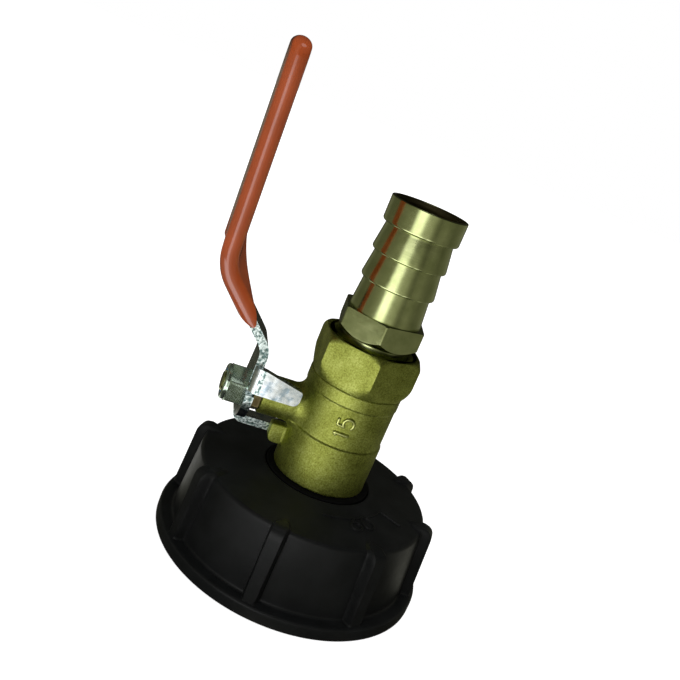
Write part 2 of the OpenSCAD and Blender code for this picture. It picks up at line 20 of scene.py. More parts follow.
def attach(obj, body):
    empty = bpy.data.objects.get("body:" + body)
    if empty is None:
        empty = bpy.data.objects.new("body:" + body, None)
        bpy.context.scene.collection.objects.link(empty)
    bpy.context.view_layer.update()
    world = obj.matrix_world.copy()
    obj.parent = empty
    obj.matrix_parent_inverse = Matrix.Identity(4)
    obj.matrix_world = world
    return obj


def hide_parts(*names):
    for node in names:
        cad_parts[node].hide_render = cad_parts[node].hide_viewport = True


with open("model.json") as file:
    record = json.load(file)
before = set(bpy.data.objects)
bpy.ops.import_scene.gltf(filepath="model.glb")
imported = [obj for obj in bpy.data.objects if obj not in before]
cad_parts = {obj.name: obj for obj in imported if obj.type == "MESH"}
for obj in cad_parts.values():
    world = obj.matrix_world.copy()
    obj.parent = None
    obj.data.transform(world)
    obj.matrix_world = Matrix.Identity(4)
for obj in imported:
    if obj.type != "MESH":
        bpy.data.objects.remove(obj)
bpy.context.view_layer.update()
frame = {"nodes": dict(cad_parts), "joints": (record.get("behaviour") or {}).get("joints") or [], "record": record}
nodes = frame["nodes"]
MM = 0.001
WELD = 0.001 * MM
STEM_Z = frame["joints"][0]["pos_m"][2] / MM
slot_of = {part["node"]: part["material_slot"] for part in frame["record"]["subparts"]}
body_of = {node: body for body, members in frame["record"]["behaviour"]["bodies"].items()
           for node in members}
print(f"{len(nodes)} nodes, stem axis {STEM_Z:.1f} mm above the rim")

# %% [markdown]
# ## The camera
# The photograph looks slightly down on the adapter, with the lever on the
# left, and the picture is rolled so that the whole object leans to the right.
# A camera could be turned by eye until the picture fits, but its axes are
# worked out from those angles here, so that each is one number that can be
# read. The lens is a plain one with no shift.

# %% Camera
AZIMUTH, ELEVATION, ROLL = (math.radians(a) for a in (-14.0, 16.93, 22.64))
DISTANCE, SIDESTEP, AIM_HEIGHT = 228.0, -8.7, 65.8
LENS = 43.68

right = Vector((math.cos(AZIMUTH), math.sin(AZIMUTH), 0))
back = Vector((math.sin(AZIMUTH) * math.cos(ELEVATION),
               -math.cos(AZIMUTH) * math.cos(ELEVATION), math.sin(ELEVATION)))
up = back.cross(right)
camera_data = bpy.data.cameras.new("camera")
camera_data.lens = LENS
camera = bpy.data.objects.new("camera", camera_data)
camera.matrix_world = Matrix.Translation(
    MM * (Vector((0, 0, AIM_HEIGHT)) + SIDESTEP * right + DISTANCE * back)
) @ Matrix((
    right * math.cos(ROLL) + up * math.sin(ROLL),
    up * math.cos(ROLL) - right * math.sin(ROLL),
    back,
)).transposed().to_4x4()
bpy.context.scene.collection.objects.link(camera)
bpy.context.scene.camera = camera
bpy.context.scene.view_settings.view_transform = "Standard"
print("camera at", [round(c / MM) for c in camera.location], "mm")

# %% [markdown]
# ## Shader maths
# A node tree is easier to read as a sum than as a web of wires. Wire holds one
# socket, and its operators add the Math nodes. Finish holds one material, and
# its node method adds any other node with its settings and inputs.

# %% Wire
class Wire:
    """The value of one socket, with arithmetic that adds Math nodes."""

    def __init__(self, finish, socket):
        self.finish = finish
        self.socket = socket

    def maths(self, operation, first, second):
        return self.finish.node("ShaderNodeMath", {"operation": operation},
                                {0: first, 1: second})

    def __add__(self, other):
        return self.maths("ADD", self, other)

    def __sub__(self, other):
        return self.maths("SUBTRACT", self, other)

    def __rsub__(self, other):
        return self.maths("SUBTRACT", other, self)

    def __mul__(self, other):
        return self.maths("MULTIPLY", self, other)

    __radd__ = __add__
    __rmul__ = __mul__


# %% Finish
class Finish:
    """A material whose shader takes constants by name and wires by node."""

    def __init__(self, name, constants):
        self.material = bpy.data.materials.new(name)
        self.material.use_nodes = True
        self.tree = self.material.node_tree
        self.shader = self.tree.nodes["Principled BSDF"]
        self.place = self.node("ShaderNodeTexCoord", out="Object")
        for socket, value in constants.items():
            self.feed(socket, value)

    def node(self, kind, settings=None, sockets=None, out=0):
        node = self.tree.nodes.new(kind)
        for name, value in (settings or {}).items():
            if name == "stops":
                self.set_stops(node.color_ramp, value)
            else:
                setattr(node, name, value)
        for name, value in (sockets or {}).items():
            self.join(value, node.inputs[name])
        return Wire(self, node.outputs[out])

    def set_stops(self, ramp, stops):
        for place, _ in stops[2:]:
            ramp.elements.new(place)
        for element, (place, colour) in zip(ramp.elements, stops):
            element.position = place
            element.color = (*colour, 1)

    def join(self, value, socket):
        if isinstance(value, Wire):
            self.tree.links.new(value.socket, socket)
        else:
            socket.default_value = value

    def feed(self, socket, value):
        self.join(value, self.shader.inputs[socket])

    def grain(self, size, detail=2, stretch=(1, 1, 1)):
        """Noise whose lumps are about size millimetres across."""
        spread = self.node("ShaderNodeMapping", None, {0: self.place, 3: stretch})
        return self.node("ShaderNodeTexNoise", None,
                         {"Vector": spread, "Scale": 1 / (size * MM), "Detail": detail})

    def ramp(self, factor, *stops):
        return self.node("ShaderNodeValToRGB", {"stops": stops}, {0: factor})

    def relief(self, height, depth):
        """Bump with a depth in millimetres; a second call adds to the first."""
        link = self.shader.inputs["Normal"].links
        under = {"Normal": Wire(self, link[0].from_socket)} if link else {}
        self.feed("Normal", self.node("ShaderNodeBump", None,
                                      {"Distance": depth * MM, "Height": height, **under}))


print("shader helpers ready")

# %% [markdown]
# ## The finishes
# Each slot of the record gets one finish. The colours are those of the real
# materials in plain light, and the noise has the size of the real grain: a
# blasted forging has pits of about a third of a millimetre, a turned surface
# has fine rings round its axis, and a moulded cap is nearly smooth. Pictures
# could give such a grain too, but noise needs no file and shows no seam.

# %% Black plastic and rubber
def moulded_plastic():
    """Black plastic with the faint orange peel of its mould."""
    finish = Finish("cap_plastic", {"Specular IOR Level": 0.2})
    cloud = finish.grain(6, 3)
    finish.feed("Base Color", finish.ramp(
        cloud, (0.3, (0.0046, 0.005, 0.005)), (0.7, (0.0075, 0.008, 0.008))))
    finish.feed("Roughness", 0.34 + 0.14 * finish.grain(2.5, 4))
    finish.relief(finish.grain(0.35, 3), 0.012)
    finish.relief(cloud, 0.05)
    return finish


def soft_rubber():
    finish = Finish("seal_rubber", {"Specular IOR Level": 0.08})
    finish.feed("Base Color", finish.ramp(
        finish.grain(1.5, 3), (0.3, (0.0015, 0.0015, 0.0015)), (0.7, (0.003, 0.003, 0.003))))
    finish.feed("Roughness", 0.6 + 0.2 * finish.grain(0.8, 2))
    finish.relief(finish.grain(0.25, 2), 0.02)
    return finish


# %% Brass
def blasted_brass():
    """A forging's skin, pitted by the blast, with darker clouds."""
    finish = Finish("forged_brass", {"Metallic": 1.0})
    speck = finish.grain(0.42, 3)
    cloud = finish.grain(5, 3)
    finish.feed("Base Color", finish.ramp(
        0.65 * speck + 0.35 * cloud,
        (0.34, (0.2, 0.22, 0.036)), (0.5, (0.385, 0.42, 0.086)), (0.66, (0.57, 0.62, 0.175))))
    finish.feed("Roughness", 0.4 + 0.22 * speck)
    finish.relief(speck, 0.06)
    finish.relief(finish.grain(1.6, 2), 0.05)
    return finish


def turned_brass():
    """Bright brass with the tool's fine rings round the axis."""
    finish = Finish("turned_brass", {"Metallic": 1.0})
    rings = finish.grain(0.6, 3, stretch=(0.03, 0.03, 1.6))
    smear = finish.grain(4, 3)
    finish.feed("Base Color", finish.ramp(
        smear, (0.3, (0.47, 0.52, 0.235)), (0.7, (0.62, 0.67, 0.33))))
    finish.feed("Roughness", 0.09 + 0.1 * smear + 0.07 * rings)
    finish.relief(rings, 0.004)
    finish.relief(finish.grain(3, 1), 0.03)
    return finish


def painted_shade_bore_brass():
    """Brass dulled by the drill, with its colour painted dark as shade deep inside a bore."""
    finish = Finish("painted_shade_bore_brass", {"Metallic": 1.0})
    rings = finish.grain(0.5, 2, stretch=(0.05, 0.05, 1.6))
    finish.feed("Base Color", finish.ramp(
        rings, (0.35, (0.10, 0.085, 0.04)), (0.65, (0.17, 0.145, 0.07))))
    finish.feed("Roughness", 0.5 + 0.15 * rings)
    return finish


# %% Zinc and stained brass
def zinc_plate():
    """Bright plate that goes a little blue where it is thin."""
    finish = Finish("zinc_steel", {"Metallic": 1.0})
    cloud = finish.grain(2.4, 3)
    finish.feed("Base Color", finish.ramp(
        cloud, (0.36, (0.42, 0.52, 0.6)), (0.46, (0.72, 0.78, 0.82)), (0.6, (0.86, 0.9, 0.91))))
    finish.feed("Roughness", 0.08 + 0.14 * cloud)
    finish.relief(finish.grain(3, 1), 0.1)
    return finish


def nut_zinc():
    """Zinc over a machined nut, which is duller and a little green."""
    finish = Finish("nut_zinc", {"Metallic": 0.95})
    smear = finish.grain(1.6, 3)
    finish.feed("Base Color", finish.ramp(
        smear, (0.35, (0.54, 0.68, 0.54)), (0.65, (0.72, 0.88, 0.74))))
    finish.feed("Roughness", 0.08 + 0.14 * smear)
    finish.relief(smear, 0.02)
    return finish


def painted_shade_brass():
    """Dark brass for the packing nut: painted shade where it sits between the neck and the lever."""
    finish = Finish("painted_shade_brass", {"Metallic": 0.9})
    smear = finish.grain(1.4, 3)
    finish.feed("Base Color", finish.ramp(
        smear, (0.35, (0.1, 0.075, 0.03)), (0.65, (0.24, 0.2, 0.09))))
    finish.feed("Roughness", 0.3 + 0.2 * smear)
    return finish


def sheared_zinc():
    """The torn edge of the sheet under its plating, with facets that flash."""
    finish = Finish("sheared_zinc", {"Metallic": 1.0})
    tear = finish.grain(0.7, 3)
    finish.feed("Base Color", finish.ramp(
        tear, (0.4, (0.12, 0.19, 0.18)), (0.58, (0.84, 0.94, 0.92))))
    finish.feed("Roughness", 0.22 + 0.2 * tear)
    finish.relief(tear, 0.14)
    return finish


# %% Vinyl and the small plastics
def dipped_vinyl():
    """Orange plastisol under a clear, glossy skin."""
    finish = Finish("vinyl", {"Specular IOR Level": 0.12, "Coat Weight": 1.0,
                              "Coat Roughness": 0.05, "Coat IOR": 1.7})
    cloud = finish.grain(9, 2)
    finish.feed("Base Color", finish.ramp(
        cloud, (0.3, (0.35, 0.062, 0.014)), (0.7, (0.43, 0.078, 0.019))))
    finish.feed("Roughness", 0.34 + 0.1 * finish.grain(3, 2))
    finish.relief(finish.grain(7, 1), 0.04)
    return finish


def plain_finish(name, colour, roughness, metallic=0.0):
    """One colour with specks that are a little darker."""
    finish = Finish(name, {"Metallic": metallic})
    speck = finish.grain(0.8, 3)
    dull = tuple(0.85 * channel for channel in colour)
    finish.feed("Base Color", finish.ramp(speck, (0.35, dull), (0.65, colour)))
    finish.feed("Roughness", roughness + 0.06 * speck)
    return finish


# %% A finish for each slot
finishes = {
    "cap_plastic": moulded_plastic(),
    "seal_rubber": soft_rubber(),
    "forged_brass": blasted_brass(),
    "turned_brass": turned_brass(),
    "seat_plastic": plain_finish("seat_plastic", (0.85, 0.85, 0.82), 0.35),
    "ball_chrome": plain_finish("ball_chrome", (0.80, 0.80, 0.82), 0.05, metallic=1.0),
    "zinc_steel": zinc_plate(),
    "vinyl": dipped_vinyl(),
    "nylon": plain_finish("nylon", (0.16, 0.30, 0.55), 0.35),
}
print(f"{len(finishes)} finishes")

# %% [markdown]
# ## The studio
# The floor and the world are white to the camera and to mirror rays, so the
# metal shows the same white as the background. More lamps could make them as
# white, but would wash out the object. Shadows still fall on the floor,
# because near the object part of its white is light that bounces off it.

# %% Floor and world
def stage_piece(name, bm, material):
    mesh = bpy.data.meshes.new(name)
    bm.to_mesh(mesh)
    bm.free()
    mesh.materials.append(material)
    obj = bpy.data.objects.new(name, mesh)
    bpy.context.scene.collection.objects.link(obj)
    return obj


def white_to_view(tree, plain, white):
    """Mixes in the white shader for camera, mirror and glass rays."""
    path = tree.nodes.new("ShaderNodeLightPath")
    total = path.outputs["Is Camera Ray"]
    for ray in ("Is Glossy Ray", "Is Transmission Ray"):
        either = tree.nodes.new("ShaderNodeMath")
        either.operation = "MAXIMUM"
        tree.links.new(total, either.inputs[0])
        tree.links.new(path.outputs[ray], either.inputs[1])
        total = either.outputs[0]
    mix = tree.nodes.new("ShaderNodeMixShader")
    tree.links.new(total, mix.inputs[0])
    tree.links.new(plain.outputs[0], mix.inputs[1])
    tree.links.new(white.outputs[0], mix.inputs[2])
    return mix.outputs[0]


WORLD_FILL = 0.3
world = bpy.data.worlds.new("studio")
world.use_nodes = True
bpy.context.scene.world = world
tree = world.node_tree
fill, white = tree.nodes["Background"], tree.nodes.new("ShaderNodeBackground")
for background, strength in ((fill, WORLD_FILL), (white, 1.0)):
    background.inputs["Color"].default_value = (1, 1, 1, 1)
    background.inputs["Strength"].default_value = strength
tree.links.new(white_to_view(tree, fill, white), tree.nodes["World Output"].inputs["Surface"])

FLOOR_HALF = 3.0
FLOOR_WHITE = 0.88
FLOOR_GLOW = 0.7
FLOOR_NEAR, FLOOR_FAR = 0.25, 1.0
FLOOR_DROP = 0.1
floor_paint = Finish("floor_paint", {"Base Color": (FLOOR_WHITE, FLOOR_WHITE, FLOOR_WHITE, 1),
                                     "Roughness": 0.9, "Emission Strength": 1.0})
far = floor_paint.node("ShaderNodeVectorMath", {"operation": "LENGTH"},
                       {0: floor_paint.place}, out="Value")
floor_paint.feed("Emission Color", floor_paint.ramp(
    far, (FLOOR_NEAR, (FLOOR_GLOW,) * 3), (FLOOR_FAR, (1, 1, 1))))
plain = floor_paint.node("ShaderNodeBsdfDiffuse", None,
                         {"Color": (FLOOR_WHITE, FLOOR_WHITE, FLOOR_WHITE, 1)})
tree = floor_paint.tree
tree.links.new(white_to_view(tree, plain.socket.node, floor_paint.shader),
               tree.nodes["Material Output"].inputs["Surface"])
bm = bmesh.new()
bmesh.ops.create_grid(bm, x_segments=1, y_segments=1, size=FLOOR_HALF)
bmesh.ops.translate(bm, verts=bm.verts, vec=(0, 0, -FLOOR_DROP * MM))
stage_piece("floor", bm, floor_paint.material)
print("floor and world are white")

# %% [markdown]
# ## The paper drum
# Bright metal has hardly a look of its own: it shows what stands round it. A
# picture of a room could stand there, but a drum of paper does, as it does when
# metalware is photographed, because its tones are a few numbers that can be
# changed one by one. They change softly by direction, white where a window
# would be and grey or dark elsewhere. The drum glows by itself, and only mirror
# rays see it.

# %% Tones of the paper drum
# Grey by direction, in degrees to the right of the camera as seen from above.
# Each band of the drum starts at a distance in millimetres, out over the floor
# and on up the wall. The first two show in the cap, the third in the valve, the
# fourth, round the foot of the wall, in the hose tail, and the last in what
# faces upwards.
# The first band is darker: the object's shadow on the floor round the flange, painted into the drum.
DRUM_BANDS = (
    (0, ((-180, 0.08), (-100, 0.12), (-80, 0.08), (-66, 0.04), (-14, 0.04), (-6, 0.26), (4, 0.26),
         (12, 0.1), (30, 0.03), (60, 0.04), (80, 0.06), (180, 0.08))),
    (43, ((-180, 0.4), (-124, 0.8), (-108, 0.7), (-94, 0.25), (-84, 0.03), (-22, 0.03),
          (-9, 0.05), (-3, 0.14), (4, 0.14), (12, 0.06), (24, 0.05), (29, 0.12), (36, 0.12),
          (44, 0.04), (80, 0.04), (92, 0.4), (180, 0.4))),
    (88, ((-180, 0.2), (-170, 0.08), (-150, 0.04), (-110, 0.1), (-80, 0.15), (-56, 0.3),
          (-40, 2.2), (-6, 2.5), (6, 2.0), (16, 0.7), (21, 0.4), (24, 1.3), (34, 1.3), (37, 0.3),
          (50, 0.18), (110, 0.14), (150, 0.1), (168, 0.5), (180, 0.6))),
    (214, ((-180, 0.02), (-160, 0.04), (-150, 0.13), (-138, 0.16), (-120, 0.1), (-88, 0.12),
           (-76, 0.17), (-60, 0.18), (-45, 0.21), (-31, 0.24), (-22, 2.0), (-5, 2.0), (4, 0.6),
           (11, 0.44), (22, 0.4), (32, 0.2), (40, 0.12), (50, 0.18), (64, 0.19), (76, 0.15),
           (94, 0.11), (110, 0.13), (130, 0.16), (145, 0.2), (160, 0.05), (180, 0.02))),
    (350, ((-180, 0.02), (-60, 0.03), (-46, 0.2), (-24, 0.2), (-10, 0.02), (180, 0.02))),
)
BAND_BLEND = 0.03
print(f"{len(DRUM_BANDS)} bands of paper")

# %% Drum of paper for the metal to reflect
DRUM_R, DRUM_TOP = 0.22, 0.4
DRUM_INNER, DRUM_LIFT = 0.0393, 0.05
LID_HOLE = 0.06
CAMERA_TURN = math.degrees(math.atan2(back.y, back.x))
drum_paint = Finish("drum_paint", {"Base Color": (0, 0, 0, 1), "Roughness": 1.0,
                                   "Specular IOR Level": 0.0, "Emission Strength": 1.0})
facing = drum_paint.node("ShaderNodeMapping", None, {
    0: drum_paint.place, 2: (0, 0, -math.radians(CAMERA_TURN))})
share = drum_paint.node("ShaderNodeTexGradient", {"gradient_type": "RADIAL"}, {0: facing},
                        out="Fac")
flat = drum_paint.node("ShaderNodeVectorMath", {"operation": "MULTIPLY"},
                       {0: drum_paint.place, 1: (1, 1, 0)})
out = drum_paint.node("ShaderNodeVectorMath", {"operation": "LENGTH"}, {0: flat}, out="Value")
rise = drum_paint.node("ShaderNodeSeparateXYZ", None, {0: drum_paint.place}, out="Z")


def paper(tone):
    """The paper is a little warmer where it is darker."""
    return (tone, tone, tone * (0.7 + 0.3 * min(tone, 1)))


def by_direction(tones):
    """The tones of one band, laid out round the drum."""
    return drum_paint.ramp(share, *((0.5 + turn / 360, paper(tone)) for turn, tone in tones))


tone = by_direction(DRUM_BANDS[0][1])
for start, tones in DRUM_BANDS[1:]:
    reached = drum_paint.ramp(out + rise, (start * (1 - BAND_BLEND) * MM, (0, 0, 0)),
                              (start * (1 + BAND_BLEND) * MM, (1, 1, 1)))
    tone = drum_paint.node("ShaderNodeMix", {"data_type": "RGBA"},
                           {0: reached, 6: tone, 7: by_direction(tones)}, out=2)
drum_paint.feed("Emission Color", tone)
bm = bmesh.new()
line = [bm.verts.new(place) for place in ((DRUM_INNER, 0, 0), (DRUM_R, 0, 0),
                                          (DRUM_R, 0, DRUM_TOP), (LID_HOLE, 0, DRUM_TOP))]
edges = [bm.edges.new(pair) for pair in zip(line, line[1:])]
bmesh.ops.translate(bm, verts=line, vec=(0, 0, DRUM_LIFT * MM))
bmesh.ops.spin(bm, geom=line + edges, cent=(0, 0, 0), axis=(0, 0, 1),
               angle=2 * math.pi, steps=96, use_merge=True)
drum = stage_piece("paper_drum", bm, drum_paint.material)
drum.visible_camera = drum.visible_diffuse = drum.visible_shadow = False
print("paper drum round the object")

# %% [markdown]
# ## The lamps
# Four square lamps light the object evenly: one from the left at the camera's
# side, a weaker one from the right, one above, and one behind that draws the
# edges. A sky picture would be quicker, but lamps can be moved one at a time.
# Mirror rays don't see them, so that the drum alone shows in the metal.

# %% Lamps
def softbox(name, turn, rise, distance, size, watts):
    """A square lamp, turn degrees round from the camera and rise degrees up."""
    lamp = bpy.data.lights.new(name, "AREA")
    lamp.shape = "SQUARE"
    lamp.size = size
    lamp.energy = watts
    obj = bpy.data.objects.new(name, lamp)
    around = math.radians(CAMERA_TURN + turn)
    lift = math.radians(rise)
    away = Vector((math.cos(around) * math.cos(lift), math.sin(around) * math.cos(lift),
                   math.sin(lift)))
    obj.location = Vector((0, 0, AIM_HEIGHT * MM)) + distance * away
    obj.rotation_euler = away.to_track_quat("Z", "Y").to_euler()
    obj.visible_glossy = False
    bpy.context.scene.collection.objects.link(obj)
    print(f"{name}: {watts} W")


softbox("key", turn=-24, rise=22, distance=0.8, size=0.5, watts=2.6)
softbox("fill", turn=60, rise=50, distance=0.9, size=0.5, watts=0.8)
softbox("top", turn=-20, rise=75, distance=0.9, size=0.6, watts=1.5)
softbox("rim", turn=140, rise=50, distance=0.8, size=0.4, watts=1.0)

# %% [markdown]
# ## Making pieces
# Most of the adapter is turned or moulded round one axis, so its pieces start
# as an outline that is spun. Sharp corners of a drawing look false on a
# screen, and `soften` replaces each with a short curve of its own size. Where
# a form isn't round, such as a hexagon, a rib or the swelling at the foot of
# the neck, the spun rings are pushed in or out by a rule.

# %% Outlines
def soften(corners, steps=5):
    """Corners (r, z, setback) of an outline, each turned into a short curve."""
    points = []
    for i, (r, z, setback) in enumerate(corners):
        here = Vector((r, z))
        if setback == 0:
            points.append(here)
            continue
        before = (Vector(corners[i - 1][:2]) - here).normalized()
        after = (Vector(corners[(i + 1) % len(corners)][:2]) - here).normalized()
        for k in range(steps + 1):
            t = k / steps
            points.append(here + setback * ((1 - t) ** 2 * before + t ** 2 * after))
    return points


def spaced(points, count):
    """The same line with count points at even distances."""
    lengths = [(b - a).length for a, b in zip(points, points[1:])]
    marks = [sum(lengths) * k / (count - 1) for k in range(count)]
    result, gone, i = [], 0.0, 0
    for mark in marks:
        while i < len(lengths) - 1 and gone + lengths[i] < mark:
            gone += lengths[i]
            i += 1
        part = (mark - gone) / lengths[i] if lengths[i] else 0
        result.append(points[i].lerp(points[i + 1], min(max(part, 0), 1)))
    return result


def dense(points, step):
    """The same line with more points, so that no stretch is longer than step."""
    result = []
    for a, b in zip(points, points[1:]):
        parts = max(1, math.ceil((b - a).length / step))
        result += [a.lerp(b, k / parts) for k in range(parts)]
    return result + [points[-1]]


# %% Lathe
SHORT_ARC = 9


def lathe(outline, steps=192):
    """Spins an outline in millimetres about Z. It closes on itself or at the axis."""
    bm = bmesh.new()
    station = bm.verts.layers.int.new("station")
    ring = [bm.verts.new((p[0] * MM, 0, p[1] * MM)) for p in outline]
    for i, vert in enumerate(ring):
        vert[station] = i
    edges = [bm.edges.new(pair) for pair in zip(ring, ring[1:])]
    if min(outline[0][0], outline[-1][0]) > 0:
        edges.append(bm.edges.new((ring[-1], ring[0])))
    # A short arc is spun and then doubled until it is a full turn, because each
    # step of a long spin adds its own rounding error.
    spun = steps
    while spun % 2 == 0 and spun > SHORT_ARC:
        spun //= 2
    bmesh.ops.spin(bm, geom=ring + edges, cent=(0, 0, 0), axis=(0, 0, 1),
                   angle=2 * math.pi * spun / steps, steps=spun)
    while spun < steps:
        twin = bmesh.ops.duplicate(bm, geom=bm.verts[:] + bm.edges[:] + bm.faces[:])["geom"]
        bmesh.ops.rotate(bm, verts=[g for g in twin if isinstance(g, bmesh.types.BMVert)],
                         cent=(0, 0, 0), matrix=Matrix.Rotation(2 * math.pi * spun / steps, 3, "Z"))
        spun *= 2
    bmesh.ops.remove_doubles(bm, verts=bm.verts, dist=0.1 * WELD)
    bmesh.ops.recalc_face_normals(bm, faces=bm.faces)
    return bm


def along_stem(bm):
    """Lays a spun piece down, so that its axis is the stem's and height is distance."""
    bmesh.ops.rotate(bm, verts=bm.verts, cent=(0, 0, 0), matrix=Matrix.Rotation(
        -math.pi / 2, 3, "Y"))
    bmesh.ops.translate(bm, verts=bm.verts, vec=(0, 0, STEM_Z * MM))
    return bm


# %% Pieces
def piece(name, bm, node, sharp=32, edge=0.0, replaces=True, finish=None):
    """Makes the mesh a piece that rides where its node does. It wears the finish of
    its node's slot, unless it is given one of its own. With an edge width, in
    millimetres, its sharp edges are rounded."""
    mesh = bpy.data.meshes.new(name)
    bm.to_mesh(mesh)
    bm.free()
    mesh.materials.append((finish or finishes[slot_of[node]]).material)
    mesh.shade_smooth()
    mesh.set_sharp_from_angle(angle=math.radians(sharp))
    obj = bpy.data.objects.new(name, mesh)
    bpy.context.scene.collection.objects.link(obj)
    if edge:
        bevel = obj.modifiers.new("broken_edges", "BEVEL")
        bevel.width = edge * MM
        bevel.segments = 3
        bevel.angle_limit = math.radians(sharp)
        bevel.harden_normals = True
    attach(obj, body_of[node])
    if replaces:
        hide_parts(node)
    print(f"{name}: {len(mesh.polygons)} faces")
    return obj


# %% Rules for shapes
def smooth_step(x):
    """Goes from 0 to 1 with a gentle start and end."""
    x = min(max(x, 0.0), 1.0)
    return x * x * (3 - 2 * x)


def soft_min(a, b, blend):
    """The smaller of two values, with a round corner where they cross."""
    return min(a, b) - max(blend - abs(a - b), 0) ** 2 / (4 * blend)


def extrude_through(bm, rings):
    """Extrudes a closed ring of places through the rings that follow it, and
    returns the vertices of the first ring and of the last."""
    first = [bm.verts.new(place) for place in rings[0]]
    edges = [bm.edges.new(pair) for pair in zip(first, first[1:] + first[:1])]
    last = first
    for ring in rings[1:]:
        grown = bmesh.ops.extrude_edge_only(bm, edges=edges)["geom"]
        edges = [g for g in grown if isinstance(g, bmesh.types.BMEdge)]
        last = [g for g in grown if isinstance(g, bmesh.types.BMVert)]
        for vert, place in zip(last, ring):
            vert.co = place
    return first, last


print("helpers for pieces ready")

# %% [markdown]
# ## The cap
# The cap is one moulding: a flange round the open rim, a slightly tapered
# wall, a crown that rises to a recess, and eight grip ribs that run up the
# wall and curl over the shoulder. Ribs could be joined to a spun wall with
# booleans, but the joins would stay sharp. So the wall has one outline and a
# rib has another. Each point of the spun shell lies on the first, and is moved
# to the second by how near it is to a rib's centre. That gives the ribs their
# draft and their fillets in one step, and the coarse thread inside is a ridge
# that is pushed out of the bore by the same kind of rule.

# %% Cap sizes
# Flange, tapered wall and rounded shoulder
FLANGE_R, FLANGE_H = 40.0, 3.8
WALL_R, SHOULDER_R = 36.0, 34.3
SHOULDER_Z, SHOULDER_ROUND = 24.5, 1.1
# Crown, with the recess and the hole in its middle
CROWN_Z, CROWN_POWER = 26.4, 0.65
RECESS_R, RECESS_Z, RECESS_LIP = 15.9, 24.4, 0.7
HOLE_R, ROOF_Z = 10.7, 19.4
# Seat of the gasket, and the coarse thread below it
SEAT_R, THREAD_R, THREAD_L = 30.9, 30.3, 13.2
PITCH, RIDGE, RIM_CHAMFER = 6.0, 1.7, 0.4
CREST_HALF, THREAD_FLANK = 0.36, 1.1
LEAD_IN, RUN_OUT = 0.9, 1.4
# Ribs, from the flange over the knuckle to the tail on the crown
RIBS, RIB_PHASE = 8, 24.0
RIB_FOOT_R, RIB_FLANK = 38.9, 0.9
KNUCKLE_R, KNUCKLE_Z, KNUCKLE_ROUND = 37.5, 25.5, 3.2
KNUCKLE_IN, TAIL_DIP_R, TAIL_R = 0.3, 32.0, 29.6
TAIL_HALF, TOP_HALF, FOOT_HALF = 0.4, 2.2, 1.6
print(f"the wall leans in by {WALL_R - SHOULDER_R:.1f} mm over its height")


# %% Lines of the cap
def crown_at(r):
    """Height of the crown: steep by the recess and flat by the shoulder."""
    run = max(0, r - RECESS_R) / (SHOULDER_R - SHOULDER_ROUND - RECESS_R)
    return CROWN_Z - (CROWN_Z - SHOULDER_Z) * run ** CROWN_POWER


def crown_between(start, end, steps):
    """The crown's outline from one radius to another."""
    return [Vector((r, crown_at(r))) for r in
            (start + (end - start) * k / steps for k in range(steps + 1))]


def wall_at(z):
    return WALL_R + (SHOULDER_R - WALL_R) * (z - FLANGE_H) / (SHOULDER_Z - FLANGE_H)


def rib_at(z):
    return RIB_FOOT_R + (KNUCKLE_R - RIB_FOOT_R) * (z - FLANGE_H) / (KNUCKLE_Z - FLANGE_H)


# %% Outlines of the wall and of a rib
# Both have the same zones with the same counts of points, so that each point of
# one has its partner on the other: a foot, a straight, a shoulder and a crown.
low, high = FLANGE_H + 3.0, SHOULDER_Z - 3.4
leave_r = RIB_FOOT_R + 0.2
wall_zones = [
    spaced(soften([(leave_r, FLANGE_H, 0), (WALL_R, FLANGE_H, 0.6),
                   (wall_at(low), low, 0)]), 16),
    spaced([Vector((wall_at(low), low)), Vector((wall_at(high), high))], 8),
    spaced(soften([(wall_at(high), high, 0), (SHOULDER_R, SHOULDER_Z, SHOULDER_ROUND),
                   (SHOULDER_R - SHOULDER_ROUND, SHOULDER_Z, 0)], 8), 18),
    spaced(crown_between(SHOULDER_R - SHOULDER_ROUND, TAIL_R, 10), 12),
]
rib_zones = [
    spaced(soften([(leave_r, FLANGE_H, 0), (RIB_FOOT_R, FLANGE_H, 0.15),
                   (rib_at(low), low, 0)]), 16),
    spaced([Vector((rib_at(low), low)), Vector((rib_at(high), high))], 8),
    spaced(soften([(rib_at(high), high, 0), (KNUCKLE_R, KNUCKLE_Z, KNUCKLE_ROUND),
                   (SHOULDER_R - KNUCKLE_IN, KNUCKLE_Z, 0)], 10), 18),
    spaced([Vector((SHOULDER_R - KNUCKLE_IN, KNUCKLE_Z)), Vector((TAIL_DIP_R, KNUCKLE_Z - 0.1)),
            Vector((TAIL_R, crown_at(TAIL_R)))], 12),
]
wall_line = [p for zone in wall_zones for p in zone[:-1]]
rib_line = [p for zone in rib_zones for p in zone[:-1]]
print(f"{len(rib_line)} points on a rib")

# %% Outline of the whole cap
lip_r = RECESS_R + RECESS_LIP
crown_line = crown_between(TAIL_R, lip_r, 12)
recess_line = soften([(lip_r, crown_at(lip_r), 0),
                      (RECESS_R, CROWN_Z - 0.1, 0.5), (RECESS_R, RECESS_Z, 0.4),
                      (HOLE_R, RECESS_Z, 0)], 4)[1:]
inside_line = soften([(HOLE_R, ROOF_Z, 0), (SEAT_R, ROOF_Z, 0.4), (SEAT_R, THREAD_L, 0.1),
                      (THREAD_R, THREAD_L, 0)], 3)
thread_line = dense([Vector((THREAD_R, THREAD_L)), Vector((THREAD_R, RIM_CHAMFER))], 0.36)[1:]
rim_line = soften([(THREAD_R, RIM_CHAMFER, 0), (THREAD_R + RIM_CHAMFER, 0, 0),
                   (FLANGE_R, 0, 0.6), (FLANGE_R, FLANGE_H, 0.8),
                   (leave_r + 0.1, FLANGE_H, 0)], 5)[1:]
outline = inside_line + thread_line + rim_line
rib_start = len(outline)
outline += wall_line + crown_line + recess_line
print(f"cap outline of {len(outline)} points")

# %% Rules for the ribs and the thread
HAIR = 0.01
COLUMNS = 72
NEAR, CROWD = 0.5, 5.5


